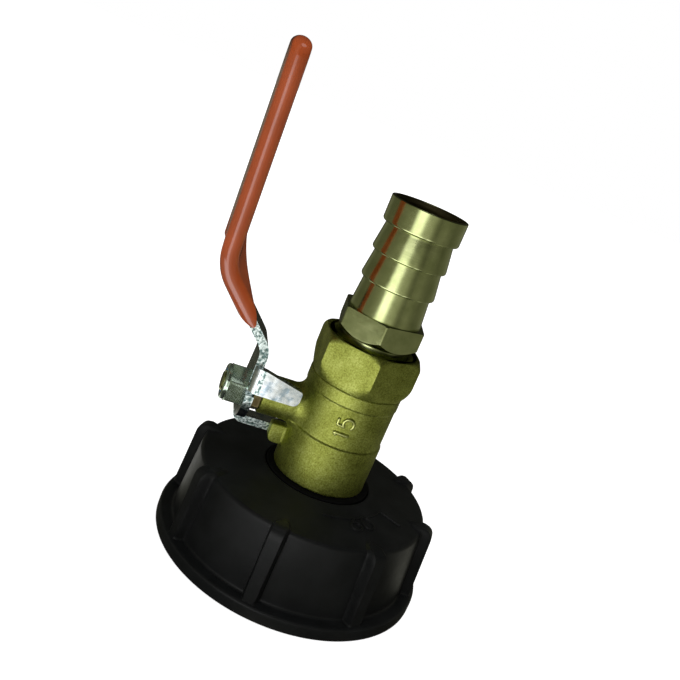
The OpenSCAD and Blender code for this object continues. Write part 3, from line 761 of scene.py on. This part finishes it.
def rib_turn(column):
    """Degrees from a rib's centre, with half the columns within CROWD degrees."""
    share = abs(column) / (COLUMNS / 2)
    half = 180 / RIBS
    turn = (CROWD * share / NEAR if share < NEAR
            else CROWD + (half - CROWD) * (share - NEAR) / (1 - NEAR))
    return math.copysign(turn, column)


def rib_half_width(r):
    """A rib is widest just inside the shoulder and fades out on the crown."""
    widest_r = SHOULDER_R - 1
    if r < widest_r:
        return TAIL_HALF + (TOP_HALF - TAIL_HALF) * (r - TAIL_R) / (widest_r - TAIL_R)
    return TOP_HALF + (FOOT_HALF - TOP_HALF) * (r - widest_r) / (FLANGE_R - widest_r)


def thread_ridge(turn, z):
    """How far the coarse thread stands out of the bore."""
    phase = (z / PITCH - turn / 360) % 1
    crest = smooth_step((CREST_HALF - abs(phase - 0.5)) * PITCH / THREAD_FLANK)
    start = smooth_step((z - LEAD_IN) / RUN_OUT)
    end = smooth_step((THREAD_L - z) / RUN_OUT)
    return RIDGE * crest * start * end


# %% Cap shell
bm = lathe(outline, COLUMNS * RIBS)
bm.verts.ensure_lookup_table()
station = bm.verts.layers.int["station"]
for vert in bm.verts:
    r, z = vert.co.xy.length / MM, vert.co.z / MM
    column = round(math.degrees(math.atan2(vert.co.y, vert.co.x)) * COLUMNS * RIBS / 360)
    sector = round(column / COLUMNS)
    offset = rib_turn(column - sector * COLUMNS)
    turn = RIB_PHASE + sector * 360 / RIBS + offset
    place = vert[station] - rib_start
    if 0 <= place < len(rib_line):
        target = rib_line[place]
        aside = math.radians(abs(offset)) * r
        share = smooth_step(0.5 + (rib_half_width(r) - aside) / RIB_FLANK)
        r += (target.x - r) * share
        z += (target.y - z) * share
    elif r < THREAD_R + HAIR and RIM_CHAMFER < z < THREAD_L:
        r -= thread_ridge(turn, z)
    vert.co = (r * MM * math.cos(math.radians(turn)), r * MM * math.sin(math.radians(turn)),
               z * MM)
bmesh.ops.recalc_face_normals(bm, faces=bm.faces)
piece("cap_moulding", bm, "cap", sharp=40)

# %% [markdown]
# ## Reworked copies
# Plain machined pieces are right as they come from the frame, apart from
# their edges. They could be modelled again, but a copy can't drift away from
# the frame. Its mesh is merged, its flat faces are joined, and its sharp edges
# get a small bevel, so that each edge catches a line of light. The packing nut
# is painted dark, as shade between the neck and the lever. Pieces deep inside
# keep the frame's own mesh.

# %% Copies with broken edges
def copy_of(node):
    """A node's mesh with its triangles joined to whole faces."""
    bm = bmesh.new()
    bm.from_mesh(nodes[node].data)
    bmesh.ops.remove_doubles(bm, verts=bm.verts, dist=WELD)
    bmesh.ops.dissolve_limit(bm, angle_limit=math.radians(0.5), verts=bm.verts,
                             edges=bm.edges, use_dissolve_boundaries=False)
    return bm


# The gland nut wears brass painted dark, as shade between the neck and the lever.
for node, width, finish in (
        ("tank_gasket", 0.5, None), ("inlet_connector", 0.15, None),
        ("connector_washer", 0.2, None), ("sealing_ring", 0.4, None),
        ("gland_nut", 0.15, painted_shade_brass()), ("stem", 0.12, None)):
    piece(f"{node}_eased", copy_of(node), node, edge=width, finish=finish)

# %% Inner pieces
for node in ("inlet_seat", "outlet_seat", "thrust_washer", "packing_ring_inner",
             "packing_ring_outer", "ball", "nut_insert"):
    nodes[node].data.materials.clear()
    nodes[node].data.materials.append(finishes[slot_of[node]].material)
    print(f"{node} wears {slot_of[node]}")

# %% [markdown]
# ## The valve body
# The body is a hot forging, blasted clean, so nothing on it is sharp. The
# barrel is spun from its outline with its two shallow steps. Round the foot
# of the neck and of the stop lug the barrel's skin is pushed outwards along a
# quarter circle, which is the fillet that a forging has there. The neck
# itself and the lug are then set into that swelling. A boolean with a bevel
# could make the same join, but would leave slivers for the light to catch.

# %% Sizes of the valve body
# Barrel with its two steps
VALVE_Z, STEP_LOW, STEP_HIGH, SEAM_Z = 26.6, 41.0, 53.0, 57.0
BARREL_R, WAIST_R, UPPER_R = 13.75, 13.3, 13.525
# Neck round the stem, with distances from the pipe's axis
NECK_R, NECK_FILLET = 5.7, 2.3
NECK_FOOT_D, NECK_D = 9.0, 24.0
NECK_BORE_R, NECK_BORE_DEPTH = 4.4, 1.5
# Stop lug below the neck
LUG_Y, LUG_Z = (-1.8, 1.8), (31.9, 37.7)
LUG_ROOT, LUG_D = 11.0, 18.2
LUG_FILLET, LUG_HEEL, LUG_EDGE, LUG_CORNER = 0.7, 2.4, 0.45, 1.0
# Inside: threaded socket, web, ball's cavity and the hexagon's socket
SOCKET_R, WEB_R, CAVITY_R, SPIGOT_R = 10.45, 6.4, 10.6, 11.4
SOCKET_Z, WEB_Z, SPIGOT_Z = 34.8, 38.1, 50.4
print(f"barrel of {2 * BARREL_R} mm with a {2 * NECK_R} mm neck")


# %% Fillets round the neck and the lug
SKIN_DEPTH = 1.5


def quarter(distance, radius):
    """Height of a fillet at a distance outside the outline that it runs round."""
    if distance >= radius:
        return 0.0
    return radius - math.sqrt(radius ** 2 - (radius - max(distance, 0)) ** 2)


def outside_box(y, z, ys, zs, corner):
    """Distance of a point from a box with round corners, negative inside it."""
    dy = abs(y - sum(ys) / 2) - (ys[1] - ys[0]) / 2 + corner
    dz = abs(z - sum(zs) / 2) - (zs[1] - zs[0]) / 2 + corner
    return math.hypot(max(dy, 0), max(dz, 0)) + min(max(dy, dz), 0) - corner


# %% Barrel
outer = soften([(SOCKET_R, VALVE_Z, 0), (BARREL_R, VALVE_Z, 0.6), (BARREL_R, STEP_LOW, 0.35),
                (WAIST_R, STEP_LOW + 0.3, 0.3), (WAIST_R, STEP_HIGH - 0.1, 0.2),
                (UPPER_R, STEP_HIGH + 0.25, 0.2), (UPPER_R, SEAM_Z, 0.45),
                (SPIGOT_R, SEAM_Z, 0)], 4)
inner = [Vector(p) for p in ((SPIGOT_R, SPIGOT_Z), (CAVITY_R, SPIGOT_Z), (CAVITY_R, WEB_Z),
                             (WEB_R, WEB_Z), (WEB_R, SOCKET_Z), (SOCKET_R, SOCKET_Z))]
bm = lathe(dense(outer, 0.3) + inner, 384)
for vert in bm.verts:
    x, y, z = (c / MM for c in vert.co)
    if x > -NECK_FOOT_D or math.hypot(x, y) < WAIST_R - SKIN_DEPTH:
        continue
    swell = max(quarter(math.hypot(y, z - STEM_Z) - NECK_R, NECK_FILLET),
                quarter(outside_box(y, z, LUG_Y, LUG_Z, LUG_CORNER), LUG_FILLET))
    vert.co.x -= swell * MM
print(f"{len(bm.verts)} points on the barrel")

# %% Neck
NECK_FLOOR_D = NECK_D - NECK_BORE_DEPTH
neck = along_stem(lathe(soften([(0, NECK_FOOT_D, 0), (NECK_R, NECK_FOOT_D, 0),
                                (NECK_R, NECK_D, 0.5), (NECK_BORE_R, NECK_D, 0.2),
                                (NECK_BORE_R, NECK_FLOOR_D, 0), (0, NECK_FLOOR_D, 0)], 4), 144))
print(f"{len(neck.verts)} points on the neck")

# %% Lug
lug = bmesh.new()
side = [lug.verts.new((-d * MM, LUG_Y[0] * MM, z * MM)) for d, z in soften(
    [(LUG_ROOT, LUG_Z[0], 0), (LUG_D, LUG_Z[0], LUG_HEEL), (LUG_D, LUG_Z[1], 0.8),
     (LUG_ROOT, LUG_Z[1], 0)], 6)]
face = lug.faces.new(side)
grown = bmesh.ops.extrude_face_region(lug, geom=[face], use_keep_orig=True)["geom"]
bmesh.ops.translate(lug, verts=[g for g in grown if isinstance(g, bmesh.types.BMVert)],
                    vec=(0, (LUG_Y[1] - LUG_Y[0]) * MM, 0))
bmesh.ops.recalc_face_normals(lug, faces=lug.faces)
rims = [e for e in lug.edges if any(abs(f.normal.y) > 0.9 for f in e.link_faces)]
bmesh.ops.bevel(lug, geom=rims, offset=LUG_EDGE * MM, offset_type="OFFSET", segments=4,
                profile=0.5, affect="EDGES", clamp_overlap=True, material=-1)
for part in (neck, lug):
    mesh = bpy.data.meshes.new("forging_part")
    part.to_mesh(mesh)
    part.free()
    bm.from_mesh(mesh)
    bpy.data.meshes.remove(mesh)
piece("valve_forging", bm, "valve_body", sharp=50)

# %% [markdown]
# ## Hexagons
# A hexagon is cut from round stock and chamfered on the lathe. A cylinder with
# six sides could be bevelled, but a turned chamfer cuts each corner in a curve,
# which a bevel doesn't. So round stock is spun with close rings, and each point
# is drawn in to whichever is nearest the axis: the flat, or the cone of a
# chamfer. The blend between them is wide on the forged end and narrow on a
# machined nut.

# %% Flats and forged chamfers
STEEP = math.tan(math.radians(30))
UNDER_SKIN = 0.4


def turn_about_axis(bm, degrees):
    bmesh.ops.rotate(bm, verts=bm.verts, cent=(0, 0, 0),
                     matrix=Matrix.Rotation(math.radians(degrees), 3, "Z"))


def flat_at(vert, across):
    """Radius of a hexagon with a corner on +X, in the direction of a point."""
    turn = math.degrees(math.atan2(vert.co.y, vert.co.x))
    return across / 2 / math.cos(math.radians(turn % 60 - 30))


def forge_hexagon(bm, across, z_low, z_high, low_r, high_r, blend):
    """Draws the skin of spun stock in to a hexagon with soft edges. The cone
    below is steep, at 30 degrees to the axis, and the one above at 45."""
    stock = across / math.sqrt(3)
    for vert in bm.verts:
        r, z = vert.co.xy.length / MM, vert.co.z / MM
        if r < across / 2 - UNDER_SKIN or not z_low - HAIR <= z <= z_high + HAIR:
            continue
        cone = min(low_r + STEEP * (z - z_low), high_r + z_high - z)
        vert.co.xy *= soft_min(flat_at(vert, across), cone, blend) / stock


# %% Forged hexagon
HEX_TOP, END_AF, END_CORNER = 69.2, 26.6, 30.0
END_LAND, END_BLEND = 0.9, 1.1
MOUTH_R, MOUTH_CHAMFER = 11.6, 1.1
END_SPIGOT_R, END_THREAD_R, SHELF_Z = 11.35, 10.45, 55.4
stock_r = END_AF / math.sqrt(3)
outline = dense(soften([(WEB_R, SPIGOT_Z, 0), (END_SPIGOT_R, SPIGOT_Z, 0),
                        (END_SPIGOT_R, SEAM_Z, 0), (stock_r, SEAM_Z, 0), (stock_r, HEX_TOP, 0),
                        (MOUTH_R, HEX_TOP, 0.15), (END_THREAD_R, HEX_TOP - MOUTH_CHAMFER, 0),
                        (END_THREAD_R, SHELF_Z, 0), (WEB_R, SHELF_Z, 0)]), 0.3)
bm = lathe(outline, 384)
forge_hexagon(bm, END_AF, SEAM_Z, HEX_TOP, low_r=UPPER_R, high_r=END_AF / 2 + END_LAND,
              blend=END_BLEND)
turn_about_axis(bm, END_CORNER)
piece("hexagon_forging", bm, "hex_end", sharp=50)

# %% [markdown]
# ## The hose tail
# The tail is turned from bar: a hexagon, a tapering root, and barbs whose
# ridges lie below each neck, so that a hose slides on from the mouth and
# can't slide back. The ridges are rounded, the necks are sharp corners. All of
# it could be stacked from cones, but one outline has no joins to hide, and a
# barb is one line of the loop that writes it.

# %% Machined hexagon
CHAMFER_RINGS, FLAT_RINGS = 3, 6
CORNER_LAND = 0.12


def hexagon_rings(across, z_low, z_high):
    """The stretch of an outline that `machine_hexagon` draws in, as round stock."""
    count = 2 * CHAMFER_RINGS + FLAT_RINGS
    return [Vector((across / math.sqrt(3), z_low + (z_high - z_low) * k / count))
            for k in range(count + 1)]


def machine_hexagon(bm, first, across, z_low, z_high, low_r, high_r):
    """Moves the rings from station first on to a hexagon with turned chamfers.
    The first and last few rings follow the chamfers' own edges."""
    station = bm.verts.layers.int["station"]
    count = 2 * CHAMFER_RINGS + FLAT_RINGS
    for vert in bm.verts:
        ring = vert[station] - first
        if not 0 <= ring <= count:
            continue
        flat = min(flat_at(vert, across), across / math.sqrt(3) - CORNER_LAND)
        low_edge = z_low + max(0, flat - low_r)
        high_edge = z_high - max(0, flat - high_r)
        if ring < CHAMFER_RINGS:
            share = ring / CHAMFER_RINGS
            r = min(flat, low_r) * (1 - share) + flat * share
            z = z_low * (1 - share) + low_edge * share
        elif ring > count - CHAMFER_RINGS:
            share = (count - ring) / CHAMFER_RINGS
            r = min(flat, high_r) * (1 - share) + flat * share
            z = z_high * (1 - share) + high_edge * share
        else:
            share = (ring - CHAMFER_RINGS) / FLAT_RINGS
            r = flat
            z = low_edge * (1 - share) + high_edge * share
        vert.co.xy *= r * MM / vert.co.xy.length
        vert.co.z = z * MM
    bmesh.ops.remove_doubles(bm, verts=bm.verts, dist=WELD)


# %% Hose tail
# Hexagon, from its lower face to the root of the shank
TAIL_AF, TAIL_CORNER, TOP_EASE = 22.0, 22.0, 0.3
TAIL_LOW, TAIL_ROOT, TAIL_TOP = 70.8, 77.6, 108.5
# Shank with its barbs
FIRST_NECK, BARB_PITCH, BARBS = 85.8, 7.85, 3
ROOT_R, RIDGE_R, BARB_NECK_R, LAND_R = 10.3, 10.7, 9.55, 10.8
LIP = 0.95
# Bore, wide above the throat
TAIL_BORE, COUNTERSINK, THROAT = 8.7, 10.1, 7.5
BORE_FLOOR_Z, THROAT_Z = 81.6, 79.6
# Threaded end below the hexagon
SCREW_Z, SCREW_R, SCREW_LEAD, RELIEF = 58.0, 10.4, 0.8, 0.4

corners = [(ROOT_R, TAIL_ROOT, 0.05)]
for barb in range(BARBS):
    neck_z = FIRST_NECK + barb * BARB_PITCH
    ridge_r = LAND_R if barb == BARBS - 1 else RIDGE_R
    corners += [(BARB_NECK_R, neck_z, 0.05), (ridge_r, neck_z, LIP)]
corners += [(LAND_R, TAIL_TOP, 0.25), (COUNTERSINK, TAIL_TOP, 0.12),
            (TAIL_BORE, TAIL_TOP + TAIL_BORE - COUNTERSINK, 0.3), (TAIL_BORE, BORE_FLOOR_Z, 0),
            (THROAT, THROAT_Z, 0)]
shank = soften(corners, 6)
screw = [Vector(p) for p in ((THROAT, SCREW_Z), (SCREW_R - SCREW_LEAD, SCREW_Z),
                             (SCREW_R, SCREW_Z + SCREW_LEAD), (SCREW_R, TAIL_LOW - RELIEF),
                             (SCREW_R - RELIEF, TAIL_LOW))]
skin = hexagon_rings(TAIL_AF, TAIL_LOW, TAIL_ROOT)
bm = lathe(screw + skin + dense(shank, 0.6), 384)
machine_hexagon(bm, len(screw), TAIL_AF, TAIL_LOW, TAIL_ROOT, low_r=TAIL_AF / 2,
                high_r=TAIL_AF / math.sqrt(3) - TOP_EASE)
turn_about_axis(bm, TAIL_CORNER)
tail = piece("hose_tail_turned", bm, "hose_tail", sharp=24)

# %% Painted shade in the tail's bore
# Faces inside the bore wear brass painted dark, as shade deep in the hole.
tail.data.materials.append(painted_shade_bore_brass().material)
for face in tail.data.polygons:
    outward = face.normal.x * face.center.x + face.normal.y * face.center.y
    if outward < 0 and face.center.xy.length < (COUNTERSINK - 0.2) * MM:
        face.material_index = 1
print(f"bore of {2 * TAIL_BORE:.1f} mm down to the throat")

# %% [markdown]
# ## The lever nut
# A locking nut has a rolled collar over a nylon ring. The hexagon is machined
# as above, with the same helper as the tail's, and laid along the stem. Its
# turn is where the spanner left it.

# %% Lever nut
NUT_AF, NUT_TURN = 10.3, -8.0
NUT_LOW, NUT_HIGH, NUT_OUT = 29.1, 33.7, 35.0
NUT_BORE, BORE_CHAMFER = 3.0, 0.3
RING_R, RING_FLOOR = NUT_BORE + 0.9, NUT_HIGH - 0.4
COLLAR_R, COLLAR_LIP = NUT_AF / 2 - 0.1, 0.5
bore = [Vector(p) for p in ((RING_R, RING_FLOOR), (NUT_BORE, RING_FLOOR),
                            (NUT_BORE, NUT_LOW + BORE_CHAMFER),
                            (NUT_BORE + BORE_CHAMFER, NUT_LOW))]
collar = soften([(COLLAR_R + 0.3, NUT_HIGH, 0), (COLLAR_R, NUT_HIGH, 0.1),
                 (COLLAR_R, NUT_OUT, 0.7), (NUT_BORE + COLLAR_LIP, NUT_OUT, 0.15),
                 (RING_R, NUT_OUT - COLLAR_LIP, 0)], 5)
bm = lathe(bore + hexagon_rings(NUT_AF, NUT_LOW, NUT_HIGH) + collar, 192)
machine_hexagon(bm, len(bore), NUT_AF, NUT_LOW, NUT_HIGH, low_r=NUT_AF / 2 + 0.5,
                high_r=NUT_AF / 2 + 0.3)
turn_about_axis(bm, NUT_TURN)
piece("lever_nut_machined", along_stem(bm), "lever_nut", sharp=24, finish=nut_zinc())

# %% [markdown]
# ## The lever
# The lever is blanked from sheet, bent, and plated. Its flat faces are bright,
# and its sheared edges are torn and dull, so the two get different finishes.
# Its bends could be drawn again, but the frame has them right, so a copy gets
# broken edges, and a face tells by the way it looks whether it was sheared.

# %% Lever
TAB_FACE_Y, TAB_FOLD_D = -5.4, 26.0
MOSTLY, SQUARELY = 0.7, 0.9


def is_sheared(face):
    """True on the sheet's cut edges: round each tab, and along both sides of the strip."""
    d, y = -face.center.x / MM, face.center.y / MM
    if y < TAB_FACE_Y and d < TAB_FOLD_D:
        return abs(face.normal.z) > MOSTLY or face.normal.x > MOSTLY
    return abs(face.normal.y) > SQUARELY or (face.normal.x > SQUARELY and d < TAB_FOLD_D)


lever = piece("lever_stamping", copy_of("lever"), "lever", sharp=20, edge=0.3)
lever.data.materials.append(sheared_zinc().material)
cut = [face for face in lever.data.polygons if is_sheared(face)]
for face in cut:
    face.material_index = 1
print(f"{len(cut)} sheared faces")

# %% [markdown]
# ## The vinyl dip
# The grip is a skin of plastisol: the hot lever is dipped and lifted out, so
# every edge is round and the tip is a soft dome. The lever's own mesh could be
# thickened for it, but would keep its corners. So a rounded section is carried
# along the lever's centre line and extruded ring by ring, with the first ring
# cut along the slant of the dip.

# %% Centre line of the lever
PLATE_X = -27.9
BEND_LOW, BEND_HIGH = Vector((PLATE_X, 59.0)), Vector((-45.3, 77.2))
TIP = Vector((-45.9, 134.6))
LOW_BEND_R, HIGH_BEND_R = 6.0, 12.4


def bent_line(points, radii, step=0.5):
    """A line whose corners are arcs, with points at about even distances."""
    line = [points[0]]
    for a, p, b, radius in zip(points, points[1:], points[2:], radii):
        u, v = (p - a).normalized(), (b - p).normalized()
        half = math.acos(max(-1, min(1, u.dot(v)))) / 2
        start = p - u * radius * math.tan(half)
        normal = Vector((-u.y, u.x)) * (1 if u.x * v.y - u.y * v.x > 0 else -1)
        centre = start + normal * radius
        turn = 2 * half * (1 if u.x * v.y - u.y * v.x > 0 else -1)
        arm = start - centre
        for k in range(13):
            spoke = arm.copy()
            spoke.rotate(Matrix.Rotation(turn * k / 12, 2))
            line.append(centre + spoke)
    line.append(points[-1])
    total = sum((b - a).length for a, b in zip(line, line[1:]))
    return spaced(line, round(total / step))


centre_line = bent_line([Vector((PLATE_X, STEM_Z)), BEND_LOW, BEND_HIGH, TIP],
                        [LOW_BEND_R, HIGH_BEND_R])
travel = [0.0]
for a, b in zip(centre_line, centre_line[1:]):
    travel.append(travel[-1] + (b - a).length)
print(f"the lever's centre line is {travel[-1]:.1f} mm long")


# %% Along the centre line
def on_line(distance):
    """Place and unit normal of the centre line, distance along it."""
    distance = min(max(distance, 0), travel[-1])
    i = min(sum(1 for mark in travel if mark <= distance), len(travel) - 1)
    a, b = centre_line[i - 1], centre_line[i]
    along = (b - a).normalized()
    return a + along * (distance - travel[i - 1]), Vector((-along.y, along.x))


# %% Section of the grip
HALF_W, HALF_T, SECTION_ROUND = 7.25, 2.45, 2.4
SIDES = 36
SECTION = []
for k in range(SIDES):
    turn = 2 * math.pi * (k + 0.5) / SIDES
    SECTION.append(tuple(math.copysign(half - SECTION_ROUND, share) + SECTION_ROUND * share
                         for half, share in ((HALF_W, math.cos(turn)),
                                             (HALF_T, math.sin(turn)))))
print(f"section of {2 * HALF_W} by {2 * HALF_T} mm")

# %% Edge and tip of the dip
SKIN, TIP_ROUND, TIP_THINS = 1.25, 4.4, 2.2
DIP_NEAR, DIP_FAR = 5.5, 26.0
LIP_THICK, LIP_LENGTH, LIP_START = 0.72, 1.3, 0.02


def start_of(across):
    """Distance along the line at which the dip starts, on its slanting edge."""
    height = BEND_LOW.y + DIP_NEAR + (DIP_FAR - DIP_NEAR) * (across + HALF_W) / (2 * HALF_W)
    i = next(k for k, spot in enumerate(centre_line) if spot.y > height)
    low, high = centre_line[i - 1].y, centre_line[i].y
    return travel[i - 1] + (travel[i] - travel[i - 1]) * (height - low) / (high - low)


def ring_places(share):
    """The section's points at a share of the way from the dip's edge to its tip."""
    end = travel[-1] + SKIN
    places = []
    for across, thick in SECTION:
        start = start_of(across)
        distance = start + (end - start) * share
        left = end - distance
        dome = math.sqrt(max(0, 1 - max(0, 1 - left / TIP_ROUND) ** 2))
        flat = math.sqrt(max(0, 1 - max(0, 1 - left / TIP_THINS) ** 2))
        swell = math.sqrt(smooth_step((distance - start) / LIP_LENGTH + LIP_START))
        lip = LIP_THICK + (1 - LIP_THICK) * swell
        spot, normal = on_line(distance)
        spot = spot + normal * thick * lip * flat
        if distance > travel[-1]:
            spot += (TIP - BEND_HIGH).normalized() * (distance - travel[-1])
        places.append(Vector((spot.x, across * dome, spot.y)) * MM)
    return places


# %% Grip
RINGS, TIP_RINGS = 150, 24
LIP_END, TIP_START = 0.018, 0.92
shares = [0, 0.004, 0.008, 0.013]
shares += [LIP_END + (TIP_START - LIP_END) * k / RINGS for k in range(RINGS + 1)]
shares += [TIP_START + (1 - TIP_START) * math.sin(0.5 * math.pi * k / TIP_RINGS)
           for k in range(1, TIP_RINGS + 1)]
bm = bmesh.new()
dip_edge = extrude_through(bm, [ring_places(share) for share in shares])[0]
bm.faces.new(dip_edge)
bmesh.ops.remove_doubles(bm, verts=bm.verts, dist=WELD)
bmesh.ops.holes_fill(bm, edges=[e for e in bm.edges if e.is_boundary])
bmesh.ops.recalc_face_normals(bm, faces=bm.faces)
piece("vinyl_dip", bm, "grip", sharp=60)

# %% [markdown]
# ## Raised figures
# A forging die leaves a size in millimetres on the barrel as strokes with round
# backs, and the cap's mould leaves one in a frame. A text object would be
# quicker, but its letters have flat tops and sharp sides. So each figure is
# drawn as lines on a small grid. `place` puts the lines on the curved surface,
# and `ridge` lays a stroke along them that is round at its back and both ends.

# %% Figures as lines
GRID_H = 1.6


def arc(x, y, rx, ry, start, end, count=18):
    """Points on a stretch of an ellipse, between two angles in degrees."""
    turns = (math.radians(start + (end - start) * k / count) for k in range(count + 1))
    return [(x + rx * math.cos(t), y + ry * math.sin(t)) for t in turns]


FIGURES = {
    "0": [arc(0.5, 0.8, 0.5, 0.8, 90, 450)],
    "1": [[(0.0, 1.25), (0.35, 1.6), (0.35, 0)]],
    "5": [[(0.9, 1.6), (0.15, 1.6), (0.08, 0.9)] + arc(0.47, 0.53, 0.53, 0.53, 120, -150)],
    "6": [[(0.85, 1.6)] + arc(0.5, 0.5, 0.5, 0.5, 150, 510)],
}


def set_figure(figure, left, foot, width, height):
    """A figure's lines at their size and place on the surface."""
    return [[(left + width * x, foot + height * y / GRID_H) for x, y in line]
            for line in FIGURES[figure]]


print(f"{len(FIGURES)} figures drawn")

# %% Strokes
def ridge(bm, line, place, outward, half_width, height, step=0.16, sides=10):
    """One stroke along a drawn line, in millimetres. Returns its two end rings,
    whose vertices all lie at one point."""
    line = [Vector(point) for point in line]
    length = sum((b - a).length for a, b in zip(line, line[1:]))
    count = max(8, round(length / step))
    spots = [place(*point) for point in spaced(line, count)]
    rings = []
    for i, spot in enumerate(spots):
        along = (spots[min(i + 1, count - 1)] - spots[max(i - 1, 0)]).normalized()
        up = outward(spot)
        aside = along.cross(up).normalized()
        from_end = min(i, count - 1 - i) * length / (count - 1)
        size = math.sqrt(1 - max(0, 1 - from_end / half_width) ** 2)
        turns = (2 * math.pi * k / sides for k in range(sides))
        rings.append([(spot + size * (half_width * math.cos(t) * aside
                                      + height * math.sin(t) * up)) * MM for t in turns])
    return extrude_through(bm, rings)


def ridges(strokes, place, outward, half_width, height):
    """A mesh of strokes, each of them closed to a point at both ends."""
    bm = bmesh.new()
    ends = []
    for line in strokes:
        ends += ridge(bm, line, place, outward, half_width, height)
    for ring in ends:
        bmesh.ops.pointmerge(bm, verts=ring, merge_co=ring[0].co)
    bmesh.ops.recalc_face_normals(bm, faces=bm.faces)
    return bm


print("strokes ready")

# %% Size on the barrel
MARK_TURN, MARK_Z = -99.0, 47.2
MARK_W, MARK_H = 2.7, 4.3
MARK_LEFT, MARK_STEP, MARK_FOOT = -2.6, 3.0, -2.4
MARK_HALF_WIDTH, MARK_RELIEF = 0.5, 0.62


def on_barrel(a, b):
    """The figures read from the side, so their own x runs up the barrel."""
    turn = math.radians(MARK_TURN) - b / WAIST_R
    return Vector((WAIST_R * math.cos(turn), WAIST_R * math.sin(turn), MARK_Z + a))


def from_axis(spot):
    return Vector((spot.x, spot.y, 0)).normalized()


strokes = []
for k, figure in enumerate("15"):
    strokes += set_figure(figure, MARK_LEFT + k * MARK_STEP, MARK_FOOT, MARK_W, MARK_H)
bm = ridges(strokes, on_barrel, from_axis, MARK_HALF_WIDTH, MARK_RELIEF)
# The strokes wear brighter brass than the barrel: a painted highlight on their round backs.
piece("size_mark", bm, "valve_body", sharp=60, replaces=False,
      finish=plain_finish("painted_highlight_brass", (0.72, 0.76, 0.27), 0.3, metallic=1.0))

# %% Figures on the cap
FRAME_R, FRAME_OUT, FRAME_TURNS = 21.4, 28.7, (-91.0, -32.0)
FIGURE_W, FIGURE_H, FIGURE_GAP, FIGURE_MARGIN = 3.4, 5.0, 1.4, 1.4
CAP_HALF_WIDTH, CAP_RELIEF, CAP_SUNK = 0.34, 0.42, 0.02
READ_R = FRAME_R + 3.5
middle = math.radians(sum(FRAME_TURNS) / 2)


def on_crown(along, r):
    """Along is in millimetres round the frame's middle, and r is from the axis."""
    turn = middle + along / READ_R
    return Vector((r * math.cos(turn), r * math.sin(turn), crown_at(r) - CAP_SUNK))


def upward(_):
    return Vector((0, 0, 1))


half = math.radians(FRAME_TURNS[1] - FRAME_TURNS[0]) / 2 * READ_R
strokes = [[(half * k / 20, FRAME_R) for k in range(-20, 21)],
           [(half, FRAME_R), (half, FRAME_OUT)]]
left = -(2 * FIGURE_W + FIGURE_GAP) / 2
for figure in "60":
    strokes += [[(a, FRAME_OUT + FRAME_R - b - FIGURE_MARGIN) for a, b in line]
                for line in set_figure(figure, left, FRAME_R + FIGURE_MARGIN, FIGURE_W, FIGURE_H)]
    left += FIGURE_W + FIGURE_GAP
bm = ridges(strokes, on_crown, upward, CAP_HALF_WIDTH, CAP_RELIEF)
piece("cap_figures", bm, "cap", sharp=60, replaces=False)
